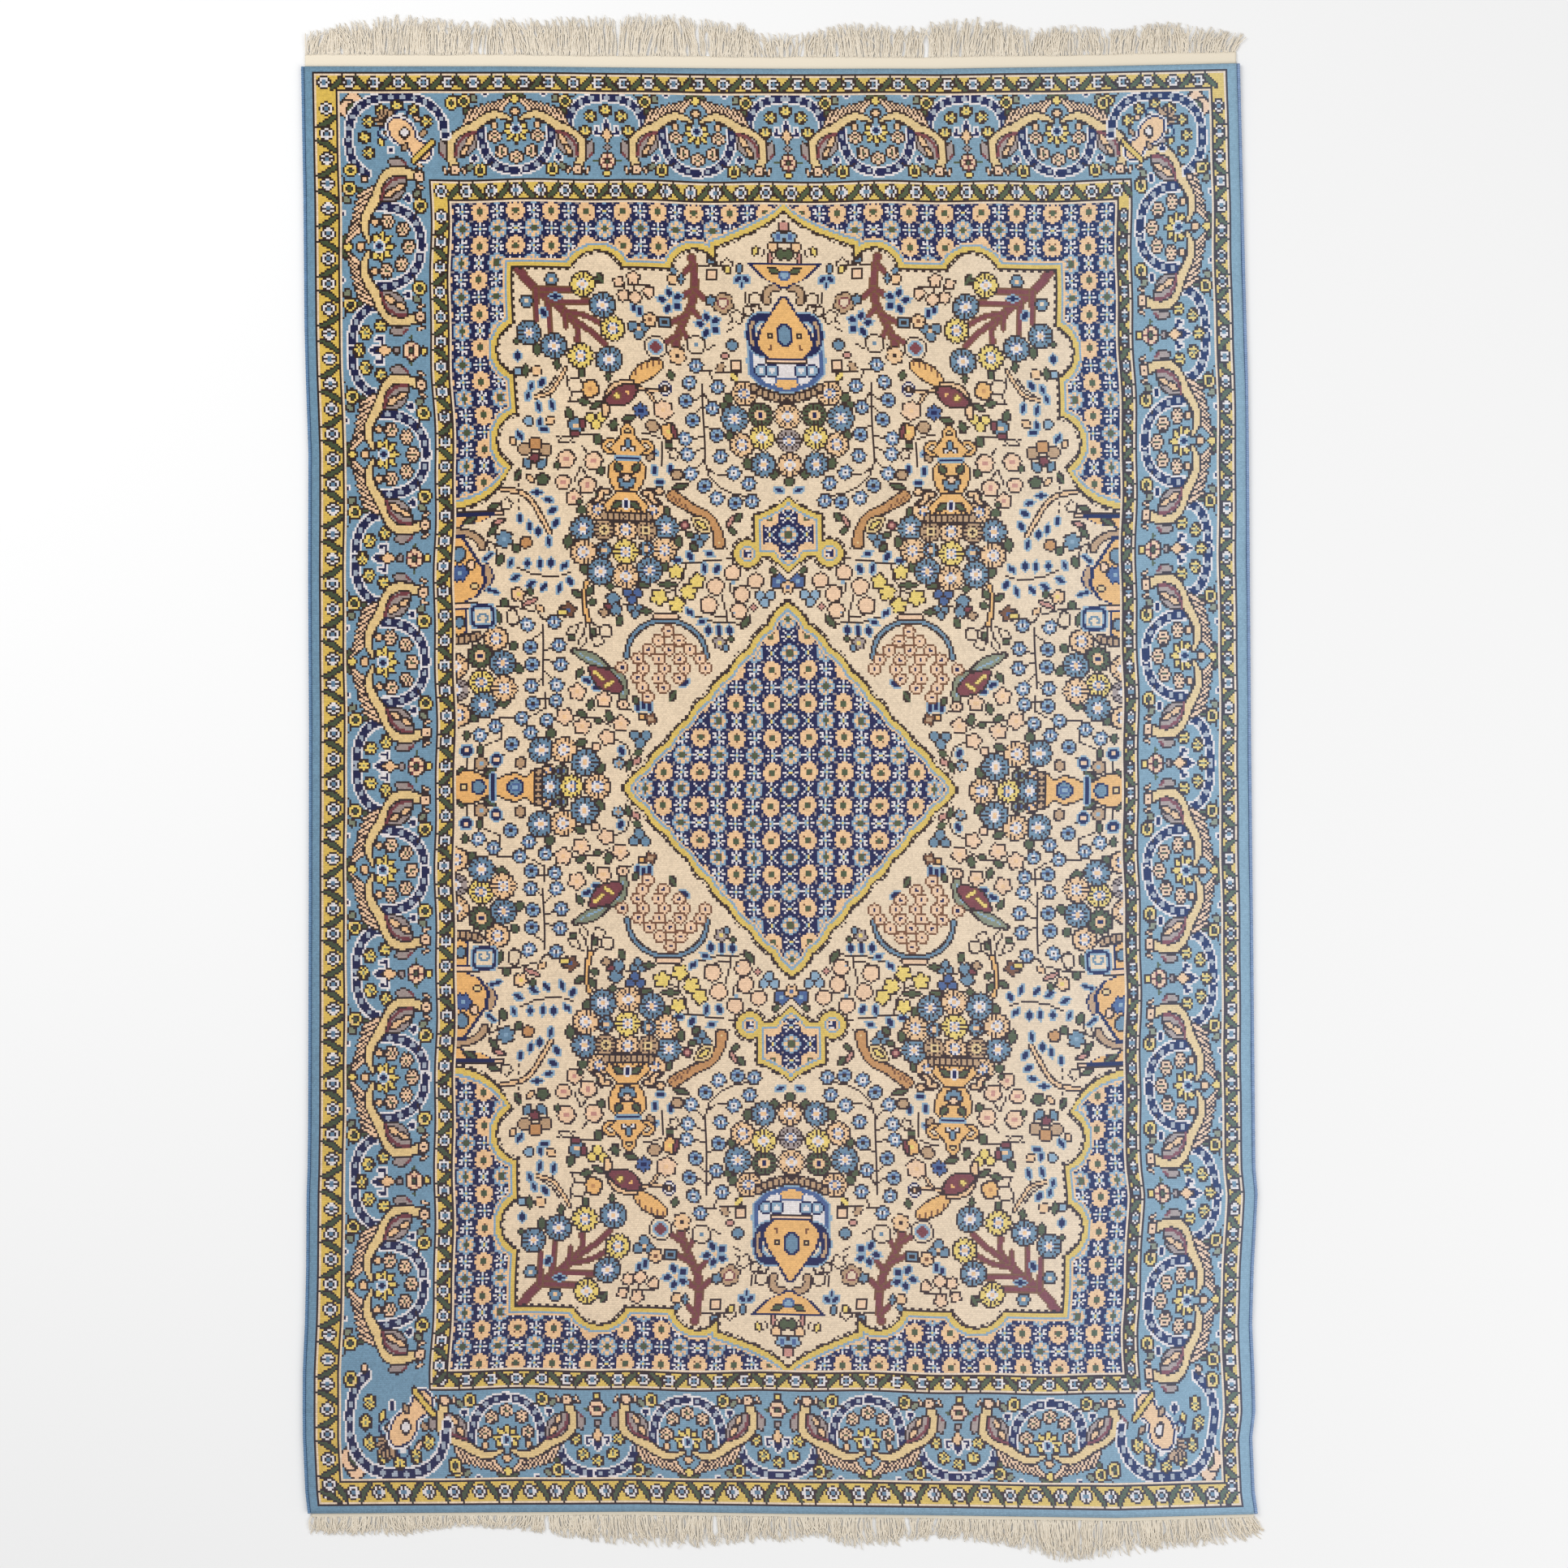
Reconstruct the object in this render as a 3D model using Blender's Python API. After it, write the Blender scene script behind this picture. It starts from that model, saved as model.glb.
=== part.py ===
"""A persian rug lying flat: a knotted wool pile, its two overcast side cords, the woven cotton bands that
finish its ends, and the twisted warp ends left as fringe.

Lengths are in metres in Blender, and the tables are in millimetres from the middle of the pattern.
+X runs across the rug, +Y along it to the end with the wider band, and +Z up. The underside is at z = 0.
"""

import bpy
import bmesh
import numpy as np

for old in list(bpy.data.objects):
    bpy.data.objects.remove(old, do_unlink=True)

MM = 0.001
PILE_HEIGHT = 9.0  # knots and the foundation under them
PILE_EDGE_HEIGHT = 6.6  # where the pile rounds over at its rim
PILE_RIM = 5.0  # how far in from the rim it reaches its full height
PILE_ROLL = 0.35  # how much the laid surface rises and falls
CORD_WIDTH = 5.6
CORD_HEIGHT = 6.4
BAND_THICK = 2.4
BAND_TOP_DEPTH = 19.0
BAND_BOTTOM_DEPTH = 6.5
FRINGE_THICK = 2.2
FRINGE_ROOT = 4.0  # depth of the strip the teeth of a comb grow from
FRINGE_TEETH = 104
TOOTH_SHARE = 0.74  # of its pitch, at the root
TIP_SHARE = 0.42
GAP = 0.3
# Shares of the rug's width at which the pile, bands and fringe roots all bend, so that they stay apart.
STATIONS = np.linspace(0.0, 1.0, 41)
LOW_END, LONG = -1056.0, 2099.0  # where the pile starts along the rug, and its length

# The long edges: place along the rug, then the outside of each side cord there.
LONG_EDGES = np.array([
    # along, left, right
    [-1056.0, -697.5, 682.0],
    [-1024.0, -701.0, 677.5],
    [-946.0, -704.5, 674.0],
    [-908.0, -704.8, 678.5],
    [-850.0, -704.6, 677.0],
    [-782.0, -701.5, 673.8],
    [-700.0, -699.7, 676.1],
    [-593.0, -699.0, 681.8],
    [-555.0, -697.6, 678.5],
    [-487.0, -696.8, 677.8],
    [-200.0, -696.0, 675.0],
    [83.0, -695.6, 672.0],
    [293.0, -696.8, 670.5],
    [481.0, -696.4, 669.2],
    [593.0, -700.2, 667.8],
    [669.0, -702.1, 665.5],
    [852.0, -703.7, 660.8],
    [1043.0, -707.1, 656.1],
])

# The two ends of the pile: place across the rug, then where the pile stops there.
ENDS = np.array([
    # across, bottom, top
    [-707.0, -1057.0, 1042.0],
    [-408.0, -1055.0, 1042.0],
    [-214.0, -1054.0, 1040.0],
    [7.0, -1057.3, 1038.4],
    [228.0, -1059.6, 1038.4],
    [468.0, -1063.2, 1042.0],
    [682.0, -1057.3, 1046.7],
])

# The fringes: place across the rug, how far the warp ends reach past the band, and their sideways lean.
FRINGE_TOP = np.array([
    # across, reach, lean
    [-707.0, 33.0, 4.0],
    [-638.0, 48.0, -3.0],
    [-571.0, 60.0, 2.0],
    [-476.0, 51.0, 5.0],
    [-388.0, 55.0, -8.0],
    [-263.0, 60.0, 4.0],
    [-196.0, 66.0, 9.0],
    [-138.0, 58.0, -6.0],
    [-71.0, 50.0, 3.0],
    [-48.0, 36.0, -5.0],
    [6.0, 35.0, 2.0],
    [107.0, 53.0, -4.0],
    [170.0, 45.0, 3.0],
    [262.0, 61.0, 4.0],
    [353.0, 40.0, 2.0],
    [420.0, 46.0, -2.0],
    [468.0, 38.0, 3.0],
    [550.0, 48.0, 1.0],
    [589.0, 40.0, 4.0],
    [656.0, 27.0, 13.0],
])
FRINGE_BOTTOM = np.array([
    # across, reach, lean
    [-698.0, 26.0, -6.0],
    [-571.0, 30.0, 3.0],
    [-476.0, 17.0, 2.0],
    [-390.0, 22.0, -3.0],
    [-263.0, 44.0, 5.0],
    [-157.0, 51.0, 3.0],
    [-71.0, 41.0, -3.0],
    [7.0, 37.0, 4.0],
    [26.0, 27.0, 2.0],
    [103.0, 48.0, 3.0],
    [228.0, 30.0, -4.0],
    [334.0, 44.0, 3.0],
    [392.0, 63.0, 5.0],
    [468.0, 55.0, -3.0],
    [542.0, 44.0, 5.0],
    [612.0, 41.0, 6.0],
    [660.0, 34.0, 14.0],
    [682.0, 19.0, 26.0],
])


# Shares of the rug's length at which the pile and its side cords both bend.
ROWS = np.sort(np.concatenate([
    (LONG_EDGES[:, 0] - LOW_END) / LONG,
    [0.3, 0.34, 0.37, 0.44, 0.475, 0.51, 0.58, 0.62, 0.7, 0.87, 0.95, 0.97],
]))


def column(table, number, at):
    """One column of a table at these places, along straight lines between its rows."""
    return np.interp(at, table[:, 0], table[:, number])


def left(y):
    return column(LONG_EDGES, 1, y)


def right(y):
    return column(LONG_EDGES, 2, y)


def pile_end(s, sign):
    """Where the pile stops at a share of the rug's width: its top end for +1 and its bottom end for -1."""
    at_stations = column(ENDS, 2 if sign > 0 else 1, -698.0 + STATIONS * 1370.0)
    return np.interp(s, STATIONS, at_stations)


def grid_faces(rows, columns, base, turned=False):
    """Quads of a grid whose points are numbered row by row from base."""
    i, j = np.meshgrid(np.arange(rows - 1), np.arange(columns - 1), indexing="ij")
    a = (base + i * columns + j).ravel()
    quads = np.stack([a, a + 1, a + columns + 1, a + columns], axis=1)
    return (quads[:, ::-1] if turned else quads).tolist()


def rim_of(rows, columns):
    """The numbers of a grid's border points, once round."""
    across = np.arange(columns)
    up = np.arange(rows)
    return np.concatenate([
        across[:-1],
        up[:-1] * columns + columns - 1,
        (rows - 1) * columns + across[:0:-1],
        up[:0:-1] * columns,
    ])


def make(name, points, faces, colour, roughness):
    """One named object in its own wool or cotton material, from points in millimetres."""
    mesh = bpy.data.meshes.new(name)
    mesh.from_pydata((np.asarray(points, float) * MM).tolist(), [], faces)
    shape = bmesh.new()
    shape.from_mesh(mesh)
    bmesh.ops.recalc_face_normals(shape, faces=shape.faces)
    shape.to_mesh(mesh)
    shape.free()
    material = bpy.data.materials.new(name)
    material.use_nodes = True
    surface = material.node_tree.nodes["Principled BSDF"]
    surface.inputs["Base Color"].default_value = (*colour, 1.0)
    surface.inputs["Roughness"].default_value = roughness
    mesh.materials.append(material)
    made = bpy.data.objects.new(name, mesh)
    bpy.context.scene.collection.objects.link(made)
    return made


def sheet_solid(x, y, high):
    """A closed slab over a grid of places, with its flat face at z = 0."""
    rows, columns = x.shape
    upper = np.stack([x, y, high], axis=-1).reshape(-1, 3)
    lower = np.stack([x, y, np.zeros_like(x)], axis=-1).reshape(-1, 3)
    n = len(upper)
    faces = grid_faces(rows, columns, 0) + grid_faces(rows, columns, n, turned=True)
    rim = rim_of(rows, columns)
    after = np.roll(rim, -1)
    faces += np.stack([rim, rim + n, after + n, after], axis=1).tolist()
    return np.concatenate([upper, lower]), faces


def pile_carpet():
    """The knotted pile: flat below, nearly flat above, and rounded over at its rim."""
    inset = PILE_RIM / 1360.0
    s = np.sort(np.concatenate([STATIONS, [inset, 1.0 - inset]]))
    inset = PILE_RIM / 2095.0
    t = np.sort(np.concatenate([ROWS, [inset, 1.0 - inset]]))
    t, s = np.meshgrid(t, s, indexing="ij")
    rough_x, rough_y = -698.0 + s * 1370.0, LOW_END + t * LONG
    y = pile_end(s, -1) + t * (pile_end(s, 1) - pile_end(s, -1))
    side = CORD_WIDTH + GAP
    x = left(rough_y) + side + s * (right(rough_y) - left(rough_y) - 2 * side)
    rim = (s < 1e-9) | (s > 1 - 1e-9) | (t < 1e-9) | (t > 1 - 1e-9)
    roll = PILE_ROLL * (
        np.sin(rough_x / 173.0 + 0.7) * np.cos(rough_y / 241.0)
        + 0.6 * np.sin(rough_x / 91.0 - rough_y / 127.0)
    )
    high = np.where(rim, PILE_EDGE_HEIGHT, PILE_HEIGHT + roll - PILE_ROLL)
    return make("pile_carpet", *sheet_solid(x, y, high), (0.30, 0.28, 0.26), 0.9)


def side_cord(name, edge, inward):
    """A side cord: a six-sided overcast edge swept along the rug, flat where it rests."""
    s = 0.0 if inward > 0 else 1.0
    y = pile_end(s, -1) + ROWS * (pile_end(s, 1) - pile_end(s, -1))
    half = CORD_WIDTH / 2
    profile = np.array([
        [-0.86 * half, 0.0],
        [0.86 * half, 0.0],
        [half, 0.45 * CORD_HEIGHT],
        [0.62 * half, CORD_HEIGHT],
        [-0.62 * half, CORD_HEIGHT],
        [-half, 0.45 * CORD_HEIGHT],
    ])
    middle = edge(LOW_END + ROWS * LONG) + inward * half
    points = np.zeros((len(y), len(profile), 3))
    points[..., 0] = middle[:, None] + profile[None, :, 0]
    points[..., 1] = y[:, None]
    points[..., 2] = profile[None, :, 1]
    k = len(profile)
    faces = []
    for ring in range(len(y) - 1):
        for side in range(k):
            a, b = ring * k + side, ring * k + (side + 1) % k
            faces.append([a, b, b + k, a + k])
    faces.append(list(range(k)))
    faces.append([(len(y) - 1) * k + side for side in range(k)])
    return make(name, points.reshape(-1, 3), faces, (0.36, 0.50, 0.66), 0.85)


def end_corners(sign):
    """The left and right ends of a band and its fringe."""
    level = LOW_END + LONG if sign > 0 else LOW_END
    return float(left(level)) + 1.0, float(right(level)) - 1.0


def end_band(name, sign, depth):
    """A flat-woven end band, the rug's full width, from its pile to the roots of the fringe."""
    low, high = end_corners(sign)
    across = low + STATIONS * (high - low)
    start = pile_end(STATIONS, sign) + sign * GAP
    x = np.stack([across, across])
    y = np.stack([start, start + sign * depth])
    return make(name, *sheet_solid(x, y, np.full_like(x, BAND_THICK)), (0.78, 0.70, 0.56), 0.85)


def fringe(name, sign, table, depth):
    """One comb: a root strip against the band, and a tooth for each bundle of twisted warp ends."""
    low, high = end_corners(sign)
    pitch = (high - low) / FRINGE_TEETH
    number = np.arange(FRINGE_TEETH)
    middle = low + (number + 0.5) * pitch
    reach = column(table, 1, middle) * (
        1.0 + 0.07 * np.sin(2.4 * number) + 0.05 * np.sin(1.1 * number + 1.0)
    )
    lean = column(table, 2, middle) + 1.2 * np.sin(1.7 * number)

    def band_edge(x):
        return pile_end((x - low) / (high - low), sign) + sign * (depth + 2 * GAP)

    outer = []
    for m, r, shift in zip(middle, reach, lean):
        root = band_edge(m) + sign * FRINGE_ROOT
        half_root, half_tip = pitch * TOOTH_SHARE / 2, pitch * TIP_SHARE / 2
        knee = root + sign * 0.55 * (r - FRINGE_ROOT)
        outer += [
            (m - half_root, root),
            (m - half_root + 0.4 * shift, knee),
            (m - half_tip + shift, band_edge(m) + sign * r),
            (m + half_tip + shift, band_edge(m) + sign * r),
            (m + half_root + 0.4 * shift, knee),
            (m + half_root, root),
        ]
    inner = [(x, band_edge(x)) for x in low + STATIONS[::-1] * (high - low)]
    outline = np.array(
        [(low, band_edge(low) + sign * FRINGE_ROOT)]
        + outer
        + [(high, band_edge(high) + sign * FRINGE_ROOT)]
        + inner
    )
    n = len(outline)
    points = np.concatenate([
        np.column_stack([outline, np.zeros(n)]),
        np.column_stack([outline, np.full(n, FRINGE_THICK)]),
    ])
    faces = [[i, (i + 1) % n, (i + 1) % n + n, i + n] for i in range(n)]
    faces += [list(range(n)), list(range(n, 2 * n))]
    return make(name, points, faces, (0.80, 0.72, 0.60), 0.85)


made = [
    pile_carpet(),
    side_cord("selvedge_left", left, 1),
    side_cord("selvedge_right", right, -1),
    end_band("kilim_top", 1, BAND_TOP_DEPTH),
    end_band("kilim_bottom", -1, BAND_BOTTOM_DEPTH),
    fringe("fringe_top", 1, FRINGE_TOP, BAND_TOP_DEPTH),
    fringe("fringe_bottom", -1, FRINGE_BOTTOM, BAND_BOTTOM_DEPTH),
]

# The origin goes to the middle of the whole rug's footprint.
everything = np.array([v.co[:] for piece in made for v in piece.data.vertices])
middle = (everything.min(axis=0) + everything.max(axis=0)) / 2
for piece in made:
    for vertex in piece.data.vertices:
        vertex.co.x -= float(middle[0])
        vertex.co.y -= float(middle[1])
print("middle of the footprint, mm:", np.round(middle[:2] / MM, 3).tolist())
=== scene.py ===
"""The visual model of the persian rug in the row frame, in metres.

The pattern is a weaver's cartoon drawn below with numpy, one yarn number for each knot. Its numbers ride on
the pile's own faces, and a material turns them back into dyed wool. Cords, bands and fringes are surfaces.
"""

import bpy
import numpy as np
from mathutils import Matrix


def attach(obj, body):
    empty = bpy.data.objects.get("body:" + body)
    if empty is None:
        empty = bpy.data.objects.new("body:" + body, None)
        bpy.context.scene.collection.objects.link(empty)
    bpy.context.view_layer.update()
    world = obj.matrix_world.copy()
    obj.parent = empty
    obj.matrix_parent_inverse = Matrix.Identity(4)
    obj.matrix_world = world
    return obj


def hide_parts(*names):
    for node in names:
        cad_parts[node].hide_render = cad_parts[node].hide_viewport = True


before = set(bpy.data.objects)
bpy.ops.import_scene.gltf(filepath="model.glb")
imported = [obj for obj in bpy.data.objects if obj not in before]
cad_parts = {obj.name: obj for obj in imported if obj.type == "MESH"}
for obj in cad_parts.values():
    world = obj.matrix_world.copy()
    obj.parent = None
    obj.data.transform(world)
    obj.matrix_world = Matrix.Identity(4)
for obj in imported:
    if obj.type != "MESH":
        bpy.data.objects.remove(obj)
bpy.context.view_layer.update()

MM = 0.001
MIDDLE = np.array([4.492, 2.893])  # the pattern's middle in the row frame, in millimetres
LOW_END, LONG = -1056.0, 2099.0  # where the pile starts along the rug, and its length
FAR_LEFT, WIDE = -698.0, 1370.0  # the same across it
COLUMNS, ROWS = 484, 744  # knots across and along the pile, its cords' width included
SPAN, RISE = 4, 3  # knots across and up that one face of the pile carries
BASE = 32.0  # what a packed yarn number counts in: a power of two above the number of yarns

# Millimetres from the pattern's middle. The long edges: place along the rug, left edge, right edge.
LONG_EDGES = np.array([
    [-1056, -697.5, 682.0], [-1024, -701.0, 677.5], [-946, -704.5, 674.0], [-908, -704.8, 678.5],
    [-850, -704.6, 677.0], [-782, -701.5, 673.8], [-700, -699.7, 676.1], [-593, -699.0, 681.8],
    [-555, -697.6, 678.5], [-487, -696.8, 677.8], [-200, -696.0, 675.0], [83, -695.6, 672.0],
    [293, -696.8, 670.5], [481, -696.4, 669.2], [593, -700.2, 667.8], [669, -702.1, 665.5],
    [852, -703.7, 660.8], [1043, -707.1, 656.1],
])
# The ends of the pile: place across the rug, bottom end, top end.
ENDS = np.array([
    [-707, -1057.0, 1042.0], [-408, -1055.0, 1042.0], [-214, -1054.0, 1040.0], [7, -1057.3, 1038.4],
    [228, -1059.6, 1038.4], [468, -1063.2, 1042.0], [682, -1057.3, 1046.7],
])
# The fringes: place across the rug, how far the warp ends reach past the band, and their sideways lean.
FRINGE_TOP = np.array([
    [-707, 33, 4], [-638, 48, -3], [-571, 60, 2], [-476, 51, 5], [-388, 55, -8], [-263, 60, 4],
    [-196, 66, 9], [-138, 58, -6], [-71, 50, 3], [-48, 36, -5], [6, 35, 2], [107, 53, -4], [170, 45, 3],
    [262, 61, 4], [353, 40, 2], [420, 46, -2], [468, 38, 3], [550, 48, 1], [589, 40, 4], [656, 27, 13],
])
FRINGE_BOTTOM = np.array([
    [-698, 26, -6], [-571, 30, 3], [-476, 17, 2], [-390, 22, -3], [-263, 44, 5], [-157, 51, 3],
    [-71, 41, -3], [7, 37, 4], [26, 27, 2], [103, 48, 3], [228, 30, -4], [334, 44, 3], [392, 63, 5],
    [468, 55, -3], [542, 44, 5], [612, 41, 6], [660, 34, 14], [682, 19, 26],
])
BAND_TOP, BAND_BOTTOM = 19.0, 6.5  # depth of the woven band at each end

YARNS = (
    # name, red, green, blue as they show on a screen, from 0 to 255
    ("sky", 108, 142, 164),
    ("cream", 224, 200, 172),
    ("ink", 44, 30, 26),
    ("gold", 212, 178, 82),
    ("leaf", 66, 76, 50),
    ("navy", 22, 25, 64),
    ("bead", 152, 160, 172),
    ("white", 222, 214, 212),
    ("apricot", 230, 184, 134),
    ("straw", 220, 188, 128),
    ("maroon", 108, 52, 56),
    ("taupe", 150, 134, 128),
    ("royal", 62, 84, 132),
    ("azure", 124, 154, 178),
    ("amber", 228, 170, 98),
    ("camel", 186, 130, 78),
    ("rose", 190, 130, 116),
    ("sage", 118, 124, 100),
    ("tan", 176, 140, 104),
    ("lemon", 226, 196, 98),
    ("steel", 92, 122, 146),
    ("brown", 104, 66, 44),
    ("peach", 232, 190, 152),
    ("ivory", 226, 201, 168),
)
YARN = {name: number for number, (name, *_) in enumerate(YARNS)}


class Cartoon:
    """A weaver's squared drawing: a yarn number for each knot, filled with shapes placed in knots."""

    def __init__(self, knots, along, up):
        self.knots, self.along, self.up = knots, along, up

    def fill(self, box, depth, yarn, rim=None, rim_width=1.0):
        """Gives the knots where depth(x, y) is under 0 one yarn, and those in a rim round them another."""
        columns = np.flatnonzero((self.along >= box[0] - 2) & (self.along <= box[1] + 2))
        rows = np.flatnonzero((self.up >= box[2] - 2) & (self.up <= box[3] + 2))
        if len(columns) and len(rows):
            part = slice(rows[0], rows[-1] + 1), slice(columns[0], columns[-1] + 1)
            knots = self.knots[part]
            d = depth(self.along[part[1]][None, :], self.up[part[0]][:, None])
            if rim is not None:
                knots[d < rim_width] = YARN[rim]
            if yarn is not None:
                knots[d < 0] = YARN[yarn]

    def disc(self, x, y, r, yarn, rim=None, tall=1.0, turn=0.0, rim_width=1.0):
        """An ellipse: the distance from its middle, with one axis stretched, against its radius."""
        co, si = np.cos(turn), np.sin(turn)

        def depth(a, b):
            u, v = (a - x) * co + (b - y) * si, (b - y) * co - (a - x) * si
            return (np.hypot(u, v / tall) - r) * min(1.0, tall)

        far = r * max(1.0, tall)
        self.fill((x - far, x + far, y - far, y + far), depth, yarn, rim, rim_width)

    def bloom(self, x, y, r, petals, yarn, rim=None, heart=None, heart_r=1.0, heart_rim=None,
              seam=None, notch=0.25, turn=0.0, tall=1.0):
        """A flower: a circle whose radius dips by a share between petals, with seams and a round heart."""

        def polar(a, b):
            u, v = a - x, (b - y) / tall
            return np.hypot(u, v), np.abs(np.cos(petals * (np.arctan2(v, u) - turn) / 2))

        def depth(a, b):
            reach, lobe = polar(a, b)
            return reach - r * (1 - notch * (1 - lobe))

        def seams(a, b):
            reach, lobe = polar(a, b)
            apart = reach * 2 / petals * np.arcsin(np.clip(lobe, 0, 1)) - 0.34
            return np.where((reach < r) & (reach > heart_r), apart, 9.0)

        far = r * max(1.0, tall)
        box = (x - far, x + far, y - far, y + far)
        self.fill(box, depth, yarn, rim)
        if seam is not None:
            self.fill(box, seams, seam)
        if heart is not None:
            self.disc(x, y, heart_r, heart, heart_rim, tall, rim_width=0.9)

    def stroke(self, points, width, yarn, rim=None, rim_width=1.0):
        """A band along a line: the least distance to any of its straight parts, less half the width."""
        points = np.asarray(points, float)
        half = width / 2

        def depth(a, b):
            found = np.full(np.broadcast(a, b).shape, 99.0)
            for (x0, y0), (x1, y1) in zip(points[:-1], points[1:]):
                dx, dy = x1 - x0, y1 - y0
                t = np.clip(((a - x0) * dx + (b - y0) * dy) / max(dx * dx + dy * dy, 1e-9), 0, 1)
                found = np.minimum(found, np.hypot(a - x0 - t * dx, b - y0 - t * dy))
            return found - half

        (x0, y0), (x1, y1) = points.min(0), points.max(0)
        self.fill((x0 - half, x1 + half, y0 - half, y1 + half), depth, yarn, rim, rim_width)

    def limb(self, rows, yarn, rim=None, rim_width=1.0):
        """A line that swells: rows of place and width, joined by straight parts whose width runs evenly."""
        rows = np.asarray(rows, float)

        def depth(a, b):
            found = np.full(np.broadcast(a, b).shape, 99.0)
            for (x0, y0, w0), (x1, y1, w1) in zip(rows[:-1], rows[1:]):
                dx, dy = x1 - x0, y1 - y0
                t = np.clip(((a - x0) * dx + (b - y0) * dy) / max(dx * dx + dy * dy, 1e-9), 0, 1)
                half = (w0 + (w1 - w0) * t) / 2
                found = np.minimum(found, np.hypot(a - x0 - t * dx, b - y0 - t * dy) - half)
            return found

        reach = rows[:, 2].max() / 2
        (x0, y0), (x1, y1) = rows[:, :2].min(0), rows[:, :2].max(0)
        self.fill((x0 - reach, x1 + reach, y0 - reach, y1 + reach), depth, yarn, rim, rim_width)

    def urn(self, x, rows, yarn, rim=None, rim_width=1.0, lying=False):
        """A turned shape: rows of height and half width, the same on both sides of its axis."""
        height, half = np.asarray(rows, float).T

        def depth(a, b):
            across, up = (b, a) if lying else (a, b)
            side = (np.abs(across - x) - np.interp(up, height, half)) * 0.85
            return np.maximum(side, np.maximum(height[0] - up, up - height[-1]) + 0 * side)

        wide = half.max()
        box = (x - wide, x + wide, height[0], height[-1])
        self.fill(box[2:] + box[:2] if lying else box, depth, yarn, rim, rim_width)

    def patch(self, points, yarn, rim=None, rim_width=1.0):
        """A many-sided shape: distance to its nearest side, negative where a ray crosses an odd number."""
        points = np.asarray(points, float)
        ends = np.roll(points, -1, axis=0)

        def depth(a, b):
            found = np.full(np.broadcast(a, b).shape, 99.0)
            inside = np.zeros(found.shape, bool)
            for (x0, y0), (x1, y1) in zip(points, ends):
                dx, dy = x1 - x0, y1 - y0
                t = np.clip(((a - x0) * dx + (b - y0) * dy) / max(dx * dx + dy * dy, 1e-9), 0, 1)
                found = np.minimum(found, np.hypot(a - x0 - t * dx, b - y0 - t * dy))
                if dy:
                    inside ^= ((y0 > b) != (y1 > b)) & (a < x0 + (b - y0) * dx / dy)
            return np.where(inside, -found, found)

        (x0, y0), (x1, y1) = points.min(0), points.max(0)
        self.fill((x0, x1, y0, y1), depth, yarn, rim, rim_width)

    def leaf(self, x, y, turn, length, width, yarn, rim=None):
        """A leaf: two arcs that meet at its ends, turned by an angle in degrees."""
        co, si = np.cos(np.radians(turn)), np.sin(np.radians(turn))
        half = length / 2

        def depth(a, b):
            u, v = (a - x) * co + (b - y) * si, (b - y) * co - (a - x) * si
            return np.maximum(np.abs(v) - width / 2 * (1 - (u / half) ** 2), np.abs(u) - half)

        self.fill((x - half, x + half, y - half, y + half), depth, yarn, rim)


def smooth(points, steps=5):
    """A curve through points: each span is a cubic whose ends slope as the line between the neighbours."""
    p = np.asarray(points, float)
    p = np.concatenate([p[:1], p, p[-1:]])
    t = np.linspace(0, 1, steps, endpoint=False)[:, None, None]
    a, b, c, d = p[:-3], p[1:-2], p[2:-1], p[3:]
    spans = b + t * (c - a) / 2 + t**2 * (a - 2.5 * b + 2 * c - d / 2) + t**3 * (1.5 * (b - c) + (d - a) / 2)
    return np.concatenate([spans.transpose(1, 0, 2).reshape(-1, p.shape[1]), p[-1:]])


def spaced(points, gap, start=0.0):
    """Places at even distances along a line."""
    points = np.asarray(points, float)
    gone = np.concatenate([[0], np.cumsum(np.hypot(*np.diff(points, axis=0).T))])
    at = np.arange(start, gone[-1], gap)
    return np.column_stack([np.interp(at, gone, points[:, 0]), np.interp(at, gone, points[:, 1])])


def flip(points, middle, side):
    """Points set out from a middle line, to one side of it."""
    points = np.asarray(points, float)
    return np.column_stack([middle + side * points[:, 0], points[:, 1]])


def mirrored(rows, middle, side):
    """Rows of place and width set out from a middle line, to one side of it."""
    rows = np.asarray(rows, float).copy()
    rows[:, 0] = middle + side * rows[:, 0]
    return rows


def bow(x, y, wide, high, start, stop, squareness=2.3):
    """Part of a rounded square: (x + wide cos^k, y + high sin^k), k = 2 / squareness, between two angles."""
    turn = np.radians(np.linspace(start, stop, 15))
    co, si = np.cos(turn), np.sin(turn)
    power = 2.0 / squareness
    across = x + wide * np.sign(co) * np.abs(co) ** power
    up = y + high * np.sign(si) * np.abs(si) ** power
    return np.column_stack([across, up])


# ---- the guards and the garland border ----


def ribbon(c, path, start=3.0):
    """The garland: a navy band edged in white, with a pale bead every six knots."""
    c.stroke(path, 3.8, "navy", "white")
    for x, y in spaced(path, 6.0, start):
        c.disc(x, y, 1.35, "bead")


def small_flower(c, x, y, yarn="lemon", heart="sage", r=2.7):
    """A small round flower of a border ring: a rim of petals and a leaf green heart."""
    c.bloom(x, y, r, 6, yarn, "ink", heart, 0.8, None, notch=0.2, turn=0.5)
    for turn in (0.5, 1.55, 2.6, 3.65, 4.7, 5.75):
        c.disc(x + 1.9 * np.cos(turn), y + 1.9 * np.sin(turn), 0.55, "ink")


def square_flower(c, x, y, side=1, leafy=True):
    """A little yellow rose with a dark green heart, a stem and a leaf."""
    if leafy:
        c.leaf(x + side * 5.2, y - 1.5, 60 * side, 4.5, 2.4, "sage", "ink")
        c.stroke([(x - side * 2, y - 2), (x - side * 6, y - 3.2)], 0.9, "ink")
    c.bloom(x, y, 2.9, 4, "lemon", "ink", "leaf", 0.9, "ink", notch=0.12, turn=0.8)
    c.disc(x + side * 1.6, y - 1.6, 1.0, "straw")


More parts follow.
